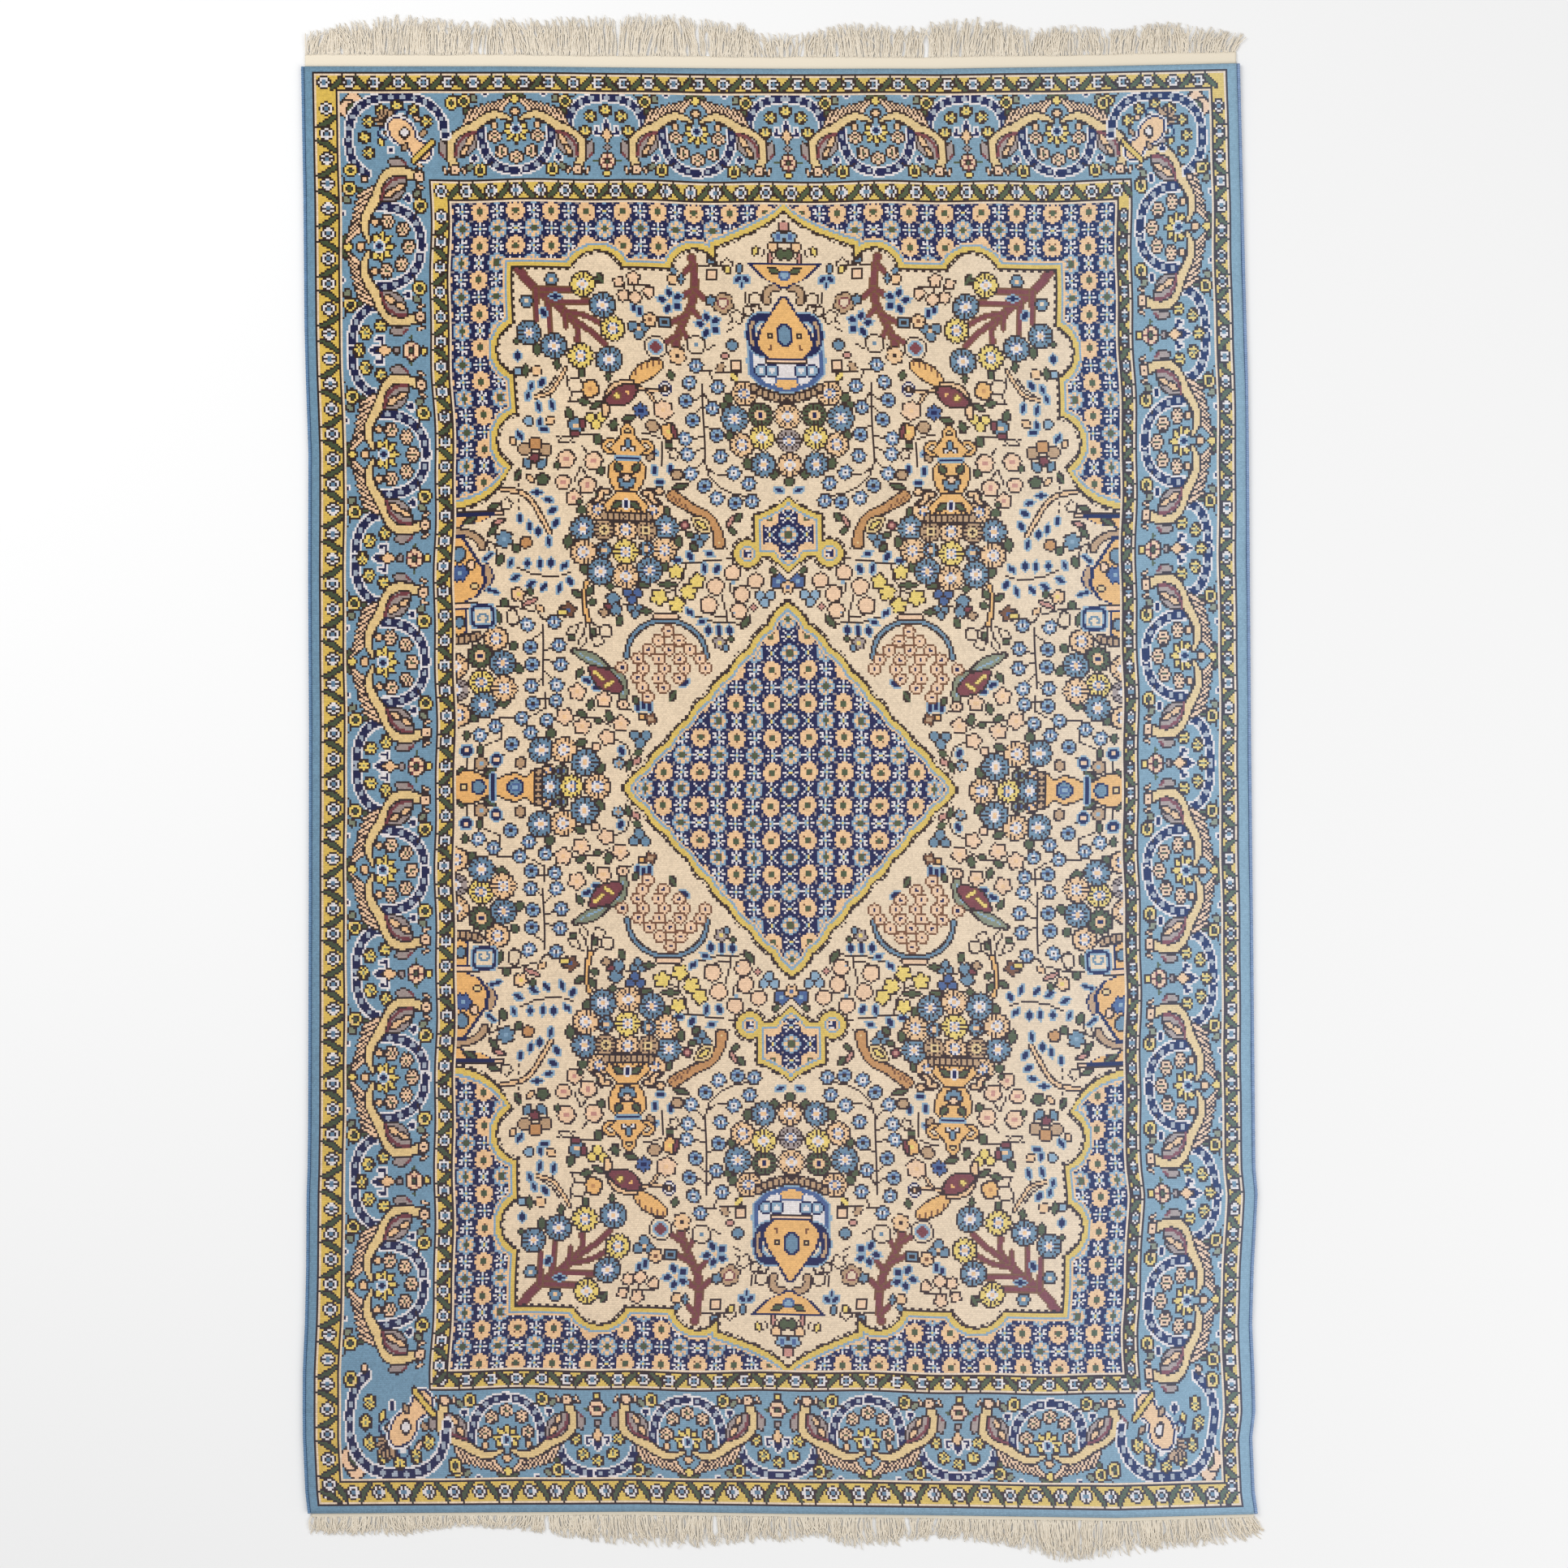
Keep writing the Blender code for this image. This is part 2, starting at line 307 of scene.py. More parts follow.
def spark(c, x, y):
    """A navy drop in a white halo."""
    c.disc(x, y, 1.5, "navy", "white")
    c.disc(x, y - 2.0, 0.6, "navy")


PHEASANT = (
    # across, depth, width
    (15, 39, 3.0), (13.5, 32, 4.4), (14, 25, 5.0), (18, 21, 4.8), (25, 17, 4.2), (31, 13, 3.6), (37, 11, 3.2),
    (44, 13.5, 1.2),
)
PLUMES = 8  # blades of its tail


def pheasant(c, middle, side):
    """A long-tailed bird beside a bud: its head at the inner edge, its tail plumes swept out and over."""

    def turned(angle):
        return angle if side > 0 else 180 - angle

    for number in range(PLUMES):
        x, y = 19 + 2.6 * number, 21 - 1.3 * number
        lean, rise = 5 + 0.3 * number, 13 - 0.5 * number
        blade = [(x, y, 1.7), (x + 0.45 * lean, y - 0.55 * rise, 1.5), (x + lean, y - rise, 0.8)]
        c.limb(mirrored(blade, middle, side), "peach", "ink", 0.8)
    c.leaf(middle + side * 9.4, 29, turned(75), 9.5, 4.4, "taupe", "ink")
    c.stroke(flip([(8, 31), (9.5, 33.4)], middle, side), 1.2, "maroon")
    c.limb(mirrored(smooth(PHEASANT), middle, side), "straw", "ink")
    c.leaf(middle + side * 20.6, 26.4, turned(-52), 17, 9, "taupe", "ink")
    c.stroke(flip(smooth([(15.6, 32), (16.4, 26.6), (20, 22), (25.6, 19.8)]), middle, side), 1.4, "maroon")
    c.leaf(middle + side * 22.6, 24.4, turned(-60), 6.4, 2.4, "apricot", "ink")
    c.leaf(middle + side * 20, 29.4, turned(-62), 5.4, 2.0, "apricot", "ink")
    for x in (9.5, 12.2, 19.2):
        c.stroke(flip([(x + 1, 41), (x, 38.6)], middle, side), 0.9, "peach", "ink", 0.7)
    c.disc(middle + side * 15.2, 39.6, 2.1, "peach", "ink")
    c.disc(middle + side * 15.2, 39.6, 0.6, "ink")


def bud_motif(c, middle, side):
    """Under an outward scallop: a navy and apricot bud, a dot, a rosette, and a ring of yellow flowers."""
    x, s = middle, side
    c.stroke([(x + s * 5, 17.6), (x + s * 5.6, 20.4), (x + s * 3.4, 20.6)], 1.3, "navy", "white")
    c.patch(flip([(0, 13.4), (2, 16.8), (2, 19), (-2, 19), (-2, 16.8)], x, 1), "navy", "white")
    c.patch(flip([(0, 18), (2.3, 21.4), (0, 25.4), (-2.3, 21.4)], x, 1), "apricot", "ink", 0.8)
    c.disc(x, 27.8, 1.2, "taupe", "ink")
    c.leaf(x + s * 5.6, 35, 0, 3, 1.8, "leaf")
    c.bloom(x, 35, 4.0, 6, "peach", "ink", "leaf", 1.0, "ink", "maroon", 0.16, 0.0)
    c.disc(x, 41.4, 1.3, "lemon", "ink")
    for turn in np.radians((0, 45, 90)):
        small_flower(c, x + s * 11 * np.cos(turn), 19.5 - 11 * np.sin(turn))


def lily_motif(c, middle, side):
    """Inside an inward scallop: a yellow lily with a navy heart, ringed by peach flowers."""
    x, s = middle, side
    for turn, far in ((90, 5.4), (52, 5.2), (14, 4.8)):
        a = np.radians(turn)
        c.leaf(x + s * far * 0.8 * np.cos(a), 18.6 + far * 0.8 * np.sin(a), turn if s > 0 else 180 - turn,
               far * 1.3, 2.5, "lemon", "ink")
    c.disc(x + s * 4, 17, 1.4, "lemon", "ink")
    c.disc(x, 18.8, 2.3, "azure", "white", rim_width=0.6)
    c.patch([(x - 1.6, 18.8), (x, 16.6), (x + 1.6, 18.8), (x, 21)], "navy")
    c.disc(x + s * 11, 16.5, 1.3, "apricot", "ink")
    for turn in np.radians((0, 45, 90)):
        small_flower(c, x + s * 11 * np.cos(turn), 22.5 + 11 * np.sin(turn), "peach", "leaf", 3.0)
    c.disc(x, 9.6, 1.7, "apricot", "ink")
    c.leaf(x + s * 3.4, 1.6, 30 if s > 0 else 150, 5, 2.4, "leaf", "ink")
    c.patch([(x - 2.1, 3), (x, 0.6), (x + 2.1, 3), (x, 5.2)], "lemon", "ink")


PAIR = 93.0  # the length of an outward and an inward scallop, in the units the border is drawn in
DEEP = 44.5  # the border's depth in the same units


def border_half(c, periods, apex):
    """From the middle of a side to its corner: scallops that bulge out and in by turns."""
    for number in range(periods + 1):
        middle = PAIR * number
        for side in (1, -1):
            if (number == 0 and side < 0) or (number == periods and side > 0):
                continue
            out = bow(0, 19.5, 20, apex - 19.5, 90, 0)
            into = bow(46.5, 18.5, -18, 21.7, 0, 90)
            if number < periods:
                ribbon(c, flip(out, middle, side), 1.0)
            ribbon(c, flip(into, middle, side))
            if number < periods:
                bud_motif(c, middle, side)
            lily_motif(c, middle + side * PAIR / 2, -side)
            square_flower(c, middle + side * 20.5, 4.0, side)
            c.leaf(middle + side * 21.5, 9.5, 60 if side > 0 else 120, 4, 2, "leaf", "ink")
            square_flower(c, middle + side * 28, 39.5, -side)
            spark(c, middle + side * 25, 33.5)
            c.disc(middle + side * 31.5, 0.5, 0.9, "navy", "white", rim_width=0.7)
            pheasant(c, middle, side)


def corner(c):
    """A corner: a round scallop, a ring of yellow flowers, and a golden vase lying on the diagonal."""
    for x, y in ((5.6, 6.2), (7, 4.4), (4.2, 8)):
        c.disc(x, y, 4.2, "peach", "ink")
    c.disc(7.4, 8.6, 3.4, "leaf", "ink")
    ribbon(c, bow(29, 23, 24.8, 21.4, 124, 358, 2.5))
    for turn in range(150, 391, 30):
        if turn != 360:
            a = np.radians(turn)
            small_flower(c, 29.5 + 17 * np.cos(a), 22.5 + 16 * np.sin(a))
    for turn in range(-60, 121, 30):
        a = np.radians(turn + 180)
        c.leaf(24.2 + 3.6 * np.cos(a), 13.4 + 3.6 * np.sin(a), turn, 4.6, 2.2, "tan", "ink")
    for x, y in ((31.6, 11.2), (22.8, 20.2)):
        c.disc(x, y, 2.6, "sky", "navy")
        c.disc(x, y, 1.5, "white")
    c.stroke([(24, 20.4), (32.8, 13)], 1.6, "tan", "ink")
    vase = smooth([(29, 17, 8), (32, 20, 11), (36, 24.5, 6), (39, 27.5, 6.5), (41.5, 30, 9)])
    c.limb(vase, "white", "white", 1.8)
    c.limb(vase, "apricot", "navy", 0.9)
    c.disc(33, 20.4, 1.7, "white", "ink", 1.2)
    c.stroke([(37.6, 34.6), (47, 25.2)], 2.0, "gold", "ink")
    spark(c, 26, 29)
    for x, y, turn, yarn in ((21, 25, 60, "lemon"), (39.5, 13, 50, "peach"), (42.5, 20.5, -50, "tan"),
                             (33, 27.6, -60, "tan")):
        c.leaf(x, y, turn, 4, 1.9, yarn, "ink")
    square_flower(c, 5, 39.5, 1, False)
    square_flower(c, 57.5, 5, 1, False)
    c.disc(12, 44, 1.3, "peach", "ink")


def guard(c, width, first, pitch=12.85):
    """What grows in a yellow guard: rosettes, and between them leaves that slant by turns."""
    mid = width / 2
    for number, x in enumerate(np.arange(first, c.along.max() - first / 2, pitch)):
        c.disc(x, mid, 3.0, "white", "ink", min(1.0, (width - 5) / 7), rim_width=0.8)
        for turn in range(0, 360, 60):
            a = np.radians(turn + 30)
            c.disc(x + 3 * np.cos(a), mid + 3 * np.sin(a) * min(1.0, (width - 5) / 7), 0.55, "ink")
        c.disc(x, mid, 1.2, "steel", "ink", rim_width=0.5)
        slant = 1 if number % 2 else -1
        at = x + pitch / 2
        stalk = [
            (at - slant * 2.6, 2.6, 0.8), (at - slant * 0.8, mid, 2.2), (at + slant * 2.4, width - 2.6, 1.4),
        ]
        c.limb(smooth(stalk), "leaf", "ink", 0.8)


def guard_lines(knots, outer, inner):
    """The lines of a guard, as rectangles one inside the other: ink, cream, gold, cream, ink."""
    lines = ("ink", "cream")
    left, top, right, bottom = outer
    for number, yarn in enumerate(lines + ("gold",)):
        knots[top + number:bottom - number, left + number:right - number] = YARN[yarn]
    left, top, right, bottom = inner
    for number, yarn in enumerate(lines):
        out = len(lines) - number
        knots[top - out:bottom + out, left - out:right + out] = YARN[yarn]


# ---- the field ----


def lattice_at(x, y, y0, wide, high):
    """The garden lattice: rimmed and plain flowers set like bricks on navy, with white stars between them."""
    out = np.full(np.broadcast(x, y).shape, YARN["navy"], np.uint8)

    def cell(dx, dy):
        u = (x - dx * wide + wide / 2) % wide - wide / 2
        v = (y - y0 - dy * high + high / 2) % high - high / 2
        return np.hypot(u, v / 1.08), np.arctan2(v + 0 * u, u + 0 * v)

    def put(mask, yarn):
        out[mask] = YARN[yarn]

    for dx, dy in ((0.25, 0.25), (0.75, 0.25), (0.25, 0.75), (0.75, 0.75)):
        put(cell(dx, dy)[0] < 0.75, "taupe")
    for dx, dy in ((0.5, 0.0), (0.0, 0.5)):
        r, t = cell(dx, dy)
        off_ray = r * np.abs(np.sin(np.mod(t + np.pi / 8, np.pi / 4) - np.pi / 8))
        put((r < 3.7) & (r > 1.6) & (off_ray < 0.45), "white")
        put(r < 1.2, "azure")
        put(r < 0.6, "lemon")
    for dx, dy, rim in ((0.0, 0.0, "azure"), (0.5, 0.5, "apricot")):
        r, t = cell(dx, dy)
        put(r < 4.7 - 0.5 * (np.cos(8 * t) < -0.7), rim)
        put((r < 3.9) & (np.cos(8 * t) > -0.3), "apricot")
        put((r < 2.4) & (np.cos(8 * t) > 0.7), "brown")
        put(r < 1.6, "leaf")
    return out


def garden(c, depth, y0):
    """The knots where depth is under 0, filled with the lattice and edged inwards with ink, gold, pale blue
    and apricot lines. Ink teeth stand outside the edge."""
    x, y = c.along[None, :], c.up[:, None]
    d = depth(x, y)
    c.knots[(d >= 0) & (d < 1.4) & ((np.floor(x) // 2 + np.floor(y) // 2) % 2 == 0)] = YARN["ink"]
    for deep, yarn in ((0.3, "ink"), (-0.6, "gold"), (-3.2, "azure"), (-4.4, "apricot")):
        c.knots[d < deep] = YARN[yarn]
    inside = d < -5.2
    c.knots[inside] = lattice_at(x, y, y0, 18.4, 17.5)[inside]


LOBES = ((46, 266, 12), (96, 262, 14), (134, 225, 14), (136, 178, 14))  # across, along, radius


def spandrel(x, y):
    """Outside the arched ground: a rectangle, a pointed top, round lobes, and a curve that runs out below."""
    ground = np.maximum(x - 139, y - 267)
    ground = np.minimum(ground, np.maximum((y - 299 + 2.1 * x**0.63) * 0.9, x - 35))
    for a, b, r in LOBES:
        ground = np.minimum(ground, np.hypot(x - a, y - b) - r)
    ground = np.minimum(ground, (y - 141 - 32 * np.exp(np.minimum(139 - x, 0) / 11)) * 0.8 + 99 * (x < 139))
    return -np.minimum(ground, y - 141)


def medallion(x, y):
    """A lozenge with a scalloped edge: |x| / 85 + |y| / 97 = 1, with eight waves to a side."""
    wave = np.abs(np.sin((x / 85 - y / 97) * 4 * np.pi)) * 1.3
    return (x / 85 + y / 97 - 1) * 64 - wave


def pendant(x, y):
    """A pointed bud over two round lobes, and a small point below."""
    top = np.maximum(y - 152 + 1.9 * x**0.62, np.maximum(x - 18, 119 - y))
    low = np.maximum(111 + 0.9 * x - y, np.maximum(x - 9, y - 125))
    lobes = np.minimum(np.hypot(x - 21, y - 121) - 7.5, np.hypot(x, y - 128) - 13)
    return np.minimum(np.minimum(top, low), lobes)


def quarter_field(c):
    """One quarter of the field, placed in knots from its middle, with the corner at the far end of both."""
    c.knots[...] = YARN["ivory"]
    plant_field(c)
    garden(c, spandrel, 287.5)
    garden(c, medallion, 0)
    garden(c, pendant, 131)


# ---- the motifs of the field ----


def posy(c, x, y, r, yarn, heart="apricot", ring="white", eye=None):
    """A bouquet flower: petals parted by dark seams, a pale ring with blue ticks, and a heart."""
    c.bloom(x, y, r, 13, yarn, "ink", None, r * 0.5, None, "ink", 0.1)
    c.disc(x, y, r * 0.47, ring)
    if ring == "white":
        for turn in np.arange(6) * np.pi / 3 + 0.5:
            c.disc(x + r * 0.37 * np.cos(turn), y + r * 0.37 * np.sin(turn), 0.6, "royal")
    c.disc(x, y, 1.25, heart)
    if eye:
        c.disc(x, y, 1.0, eye)


def rosette(c, x, y, r=3.2):
    """A vine flower: seven pale blue petals round a white ring and a dark eye."""
    c.bloom(x, y, r, 7, "azure", "ink", None, 1.0, None, "royal", 0.2, 0.3)
    c.disc(x, y, 1.5, "white")
    c.disc(x, y, 0.75, "ink")


def halo(c, x, y, turn, length=5.2, width=2.6):
    """A navy leaf in a soft blue edge."""
    c.leaf(x, y, turn, length + 2.2, width + 2.0, "azure")
    c.leaf(x, y, turn, length, width, "navy")


def outline(c, x, y, r, petals=5, yarn="peach", heart=None, notch=0.3, turn=0.4, tall=1.0):
    """A pale blossom drawn in dark line, with a heart or none."""
    c.bloom(x, y, r, petals, yarn, "ink", heart, 1.2, None, notch=notch, turn=turn, tall=tall)


def star_flower(c, x, y):
    """Five navy petals apart from one another, each in a blue edge, round an apricot heart."""
    for turn in (80, 150, 215, 290, 10):
        a = np.radians(turn)
        halo(c, x + 4.4 * np.cos(a), y + 4.4 * np.sin(a), turn, 4.6, 3.0)
    c.disc(x, y, 1.5, "apricot")


def three(c, x, y, r, yarn, heart=None):
    """Three round lobes that touch."""
    for dx, dy in ((-1.0, 0.5), (1.0, 0.4), (0.1, -0.9)):
        c.disc(x + dx * r, y + dy * r, r * 0.78, yarn, "ink", rim_width=0.8)
    if heart:
        c.disc(x, y, 0.9, heart)


def plain_leaf(c, x, y, turn, length=5.0, yarn="leaf", width=2.4):
    """A leaf of one yarn in dark line."""
    c.leaf(x, y, turn, length, width, yarn, "ink")


def dot(c, x, y, r, yarn, rim="ink"):
    """A round berry or eye."""
    c.disc(x, y, r, yarn, rim)


KINDS = {
    "posy": posy, "rosette": rosette, "halo": halo, "outline": outline, "star": star_flower, "three": three,
    "leaf": plain_leaf, "dot": dot,
}

# The tree in the corner, the slighter tree beside it, and the vines: each line is a width, then its places.
WOOD = (
    (3.6, ((136, 266), (130, 259), (124, 254), (118, 249.5), (112, 244), (108, 240))),
    (1.7, ((127, 256), (127.3, 240))), (1.9, ((121, 251), (120.5, 234))), (1.7, ((124, 256), (108, 256))),
    (1.9, ((119, 250), (106, 249.6), (99, 250.4))), (1.8, ((112, 245), (103, 243), (95, 239))),
    (2.0, ((110, 242), (106.5, 236), (107, 230))), (2.0, ((107, 240), (99, 234), (93, 228))),
    (1.5, ((113, 243), (112.5, 237))),
    (3.0, ((47.5, 274), (46, 266), (45.8, 257), (47, 250), (49.5, 245), (53, 238), (56, 231), (56.5, 228))),
    (1.8, ((47.5, 270), (51, 265.5))), (2.0, ((45.8, 257.5), (50, 255), (55, 251))),
    (2.0, ((45.8, 257.5), (42, 254), (39, 252))), (1.6, ((47, 247), (42, 241.5))),
    (1.8, ((50, 244), (58, 240))), (1.6, ((53, 238), (50.5, 232))), (1.8, ((54.5, 234), (62, 229.5))),
)
STEMS = (
    ((46, 270), (38, 269), (29, 269.8)),
    ((43.3, 209), (43.5, 187), (43.5, 168), (41, 161), (36, 156), (24, 156)),
    ((43, 166), (38, 162), (30, 161.5)), ((36, 155.5), (29, 152), (19, 150)),
    ((46, 215.5), (34, 214.8), (20, 215)), ((40, 215), (38, 211)), ((43.3, 204), (40, 200)),
    ((43.3, 203), (48, 200)), ((43.4, 198), (47, 194)), ((43.4, 187), (39, 185)), ((43.5, 182), (50, 180)),
    ((43.5, 176), (51, 173)), ((43.5, 172), (38, 172)), ((43.5, 170), (48, 165)), ((43, 162), (43, 158)),
    ((76, 182), (72, 182.5), (66, 180), (65, 165)),
    ((129, 90.5), (126, 86), (126.5, 70), (126, 50), (125.5, 41)), ((126.5, 86), (121, 88)),
    ((126.5, 80), (132, 76)), ((126.4, 70), (121, 72)), ((126.3, 66), (120, 64)), ((126.3, 56), (131, 53)),
    ((126.2, 60), (121, 55)), ((126, 46), (130, 45)), ((126, 46), (121, 45)),
    ((125.5, 41), (132, 37), (138, 36.5), (150, 35)), ((150, 32), (148, 25), (143, 25)),
    ((148, 25), (157, 21)), ((150, 92.5), (140, 92.5), (130, 90)),
    ((120, 181), (110, 177), (107, 177), (107, 165), (110, 157), (110, 152)), ((107, 165), (103, 160)),
    ((107, 176), (103, 171)), ((108, 181), (98, 182)), ((113, 198), (106, 199)), ((94, 187), (88, 183)),
    ((57, 117), (48, 116.5), (40, 117.5), (26, 118.5)), ((52, 116.8), (54, 108), (57.5, 104), (57, 98)),
    ((54, 108), (58, 110)), ((57.5, 103), (62, 101)), ((54, 106), (49, 104)),
    ((29, 106), (29.5, 101), (24, 100)), ((34, 100), (32, 92), (31, 86), (24, 84)),
    ((40, 90), (36, 88), (32, 89)), ((28, 103), (20, 105)), ((50, 89.5), (44, 88), (38, 85.5), (26, 85)),
    ((139, 113), (132, 110), (120, 108), (111, 110.5)), ((85, 95), (80, 94)), ((79, 97), (79, 93)),
    ((103, 86), (108, 84), (113, 80)), ((103, 86), (98, 82), (94, 84)), ((103, 85), (102, 76), (98, 74)),
    ((104, 85), (107, 76)), ((104, 90), (98, 90), (93, 89)), ((109, 42), (104, 42), (100, 39)),
    ((112, 37), (104, 35), (100, 36)), ((92, 31), (96, 34)), ((90, 25), (84, 22), (81, 15), (84, 8)),
    ((77, 259), (84, 257)), ((77, 259), (68, 258)), ((76, 259), (77, 254)), ((22, 252), (15, 252)),
    ((20, 256), (19, 250), (17, 245)), ((56, 225), (52, 229)), ((29, 239), (25, 243)),
    ((30, 235), (26, 238)), ((41, 226), (36, 229)), ((66, 222), (62, 224)), ((120, 205), (122, 199)),
    ((118, 212), (122, 206), (130, 201)), ((113, 212), (110, 204), (112, 198)), ((157, 21), (158, 14)),
    ((166, 15), (165, 8)), ((152, 17), (146, 16)), ((136, 14), (140, 12)),
)
BOUQUETS = (
    ("posy", 22, 203.5, 6.0, "apricot"), ("posy", 27.5, 190.5, 6.6, "steel"),
    ("posy", 14, 192.5, 6.0, "leaf", "navy", "apricot"), ("posy", 0, 192, 6.2, "apricot"),
    ("posy", 24.5, 177, 5.8, "apricot"), ("posy", 14, 181, 5.9, "lemon"), ("posy", 0, 179.5, 5.9, "taupe"),
    ("posy", 13.5, 167, 6.0, "steel"), ("posy", 0, 167, 5.8, "apricot"), ("posy", 103, 259, 6.0, "lemon"),
    ("posy", 93, 248, 6.3, "steel"), ("posy", 88.5, 236, 6.0, "lemon"), ("posy", 131.5, 233.5, 6.0, "steel"),
    ("posy", 119, 227, 6.3, "steel"), ("posy", 105.5, 222, 6.2, "lemon"), ("posy", 91, 220, 6.5, "steel"),
    ("posy", 69.5, 144, 5.6, "apricot"), ("posy", 97.5, 143, 5.6, "apricot"),
    ("posy", 62.5, 134.5, 6.2, "steel"), ("posy", 105.5, 133, 6.2, "steel"),
    ("posy", 83.5, 133, 6.0, "apricot"), ("posy", 72.8, 133, 5.0, "tan", "ink", "straw"),
    ("posy", 94.6, 132.5, 5.0, "tan", "ink", "straw"), ("posy", 63.5, 123.3, 6.2, "apricot"),
    ("posy", 105.2, 121, 6.2, "apricot"), ("posy", 83.5, 121.5, 6.2, "lemon"),
    ("posy", 72.8, 123.5, 3.6, "steel"), ("posy", 94.5, 122, 3.8, "steel"),
    ("posy", 71, 112.5, 6.4, "steel"), ("posy", 95.8, 111, 6.6, "steel"), ("posy", 83, 109, 6.2, "apricot"),
    ("posy", 150.5, 76, 5.8, "apricot"), ("posy", 158.5, 67, 6.0, "leaf", "navy", "apricot"),
    ("posy", 147, 63.5, 6.2, "steel"), ("posy", 158, 53.5, 6.0, "lemon"),
    ("posy", 146.5, 50.5, 6.2, "apricot"), ("posy", 157.5, 42, 6.3, "steel"),
    ("posy", 171, 62, 6.0, "apricot"), ("posy", 171, 50, 5.8, "taupe"), ("posy", 170.5, 37, 5.8, "apricot"),
    ("posy", 127.5, 19, 6.5, "steel"), ("posy", 116.3, 19, 6.2, "apricot"),
    ("posy", 105, 12.5, 6.8, "steel"), ("posy", 123.8, 8.6, 3.0, "apricot"),
    ("posy", 117, 8, 3.0, "sage", "ink", "white"), ("posy", 122.3, 0, 6.0, "steel"),
    ("posy", 111.3, 0, 5.6, "lemon"), ("posy", 98, 0, 6.4, "apricot"),
)
VINE = (
    (46.5, 218), (50, 209.5), (35.5, 207), (52, 200), (38.5, 196), (49, 190), (37, 182), (53.5, 180.5),
    (52.5, 172.5), (35.5, 171), (50.5, 162.5), (28.5, 162.5), (43, 156), (20.5, 157), (36.5, 149.5),
    (27, 147), (18.5, 148), (134.5, 83.5), (120.5, 85), (133, 72), (118.5, 73), (132, 63), (117.5, 63),
    (132.5, 52), (119.5, 52.5), (132, 43), (120, 44.5), (125, 34.5), (138, 35.5), (133.5, 28), (143, 22),
    (151.5, 31), (159.5, 26.5),
)
BLUE_LEAVES = (
    (131, 206, -60), (125.5, 208, -45), (133, 201, -60), (128, 195.5, 85), (121, 196.5, 85),
    (128, 187.5, -80), (126, 184, 20), (129, 151.5, 0), (123, 147.8, 10), (138, 138, 90), (133, 134, 85),
    (128.5, 131.5, 85), (123, 126.5, 85), (119.5, 136, 130), (121, 142.5, 150), (142, 115, 120),
    (133.5, 115, 85), (127, 115, 85), (121.5, 115.5, 95), (114.5, 114, 140), (139.5, 107.5, 160),
    (131.5, 104.5, 160), (125, 103, 125), (117, 102.5, 110), (111.5, 106, 65), (57, 118, 0), (50.5, 120, 50),
    (40.5, 121, 30), (43, 113.5, 85), (36.5, 113, 100), (50.5, 91, 40), (44.5, 86, 150), (41.5, 81.5, 100),
    (36, 81.5, 90), (30.5, 81.5, 90), (54, 54.5, 150), (117, 252.5, 0), (123.5, 244, 80), (137.5, 221.5, 90),
    (77, 246.5, 60), (74, 245, 110), (5, 154, 30), (69, 164, 70), (61, 165, 90), (70, 173, 30), (66, 158, 0),
    (138.5, 180.5, 60), (21.5, 261, 90), (19.5, 262.5, 40), (23.5, 262.5, 140), (104, 54.8, 30),
    (99, 51.2, 0), (86.5, 19, 80), (75, 43, 90), (72, 42.5, 90), (78, 42.5, 90),
)
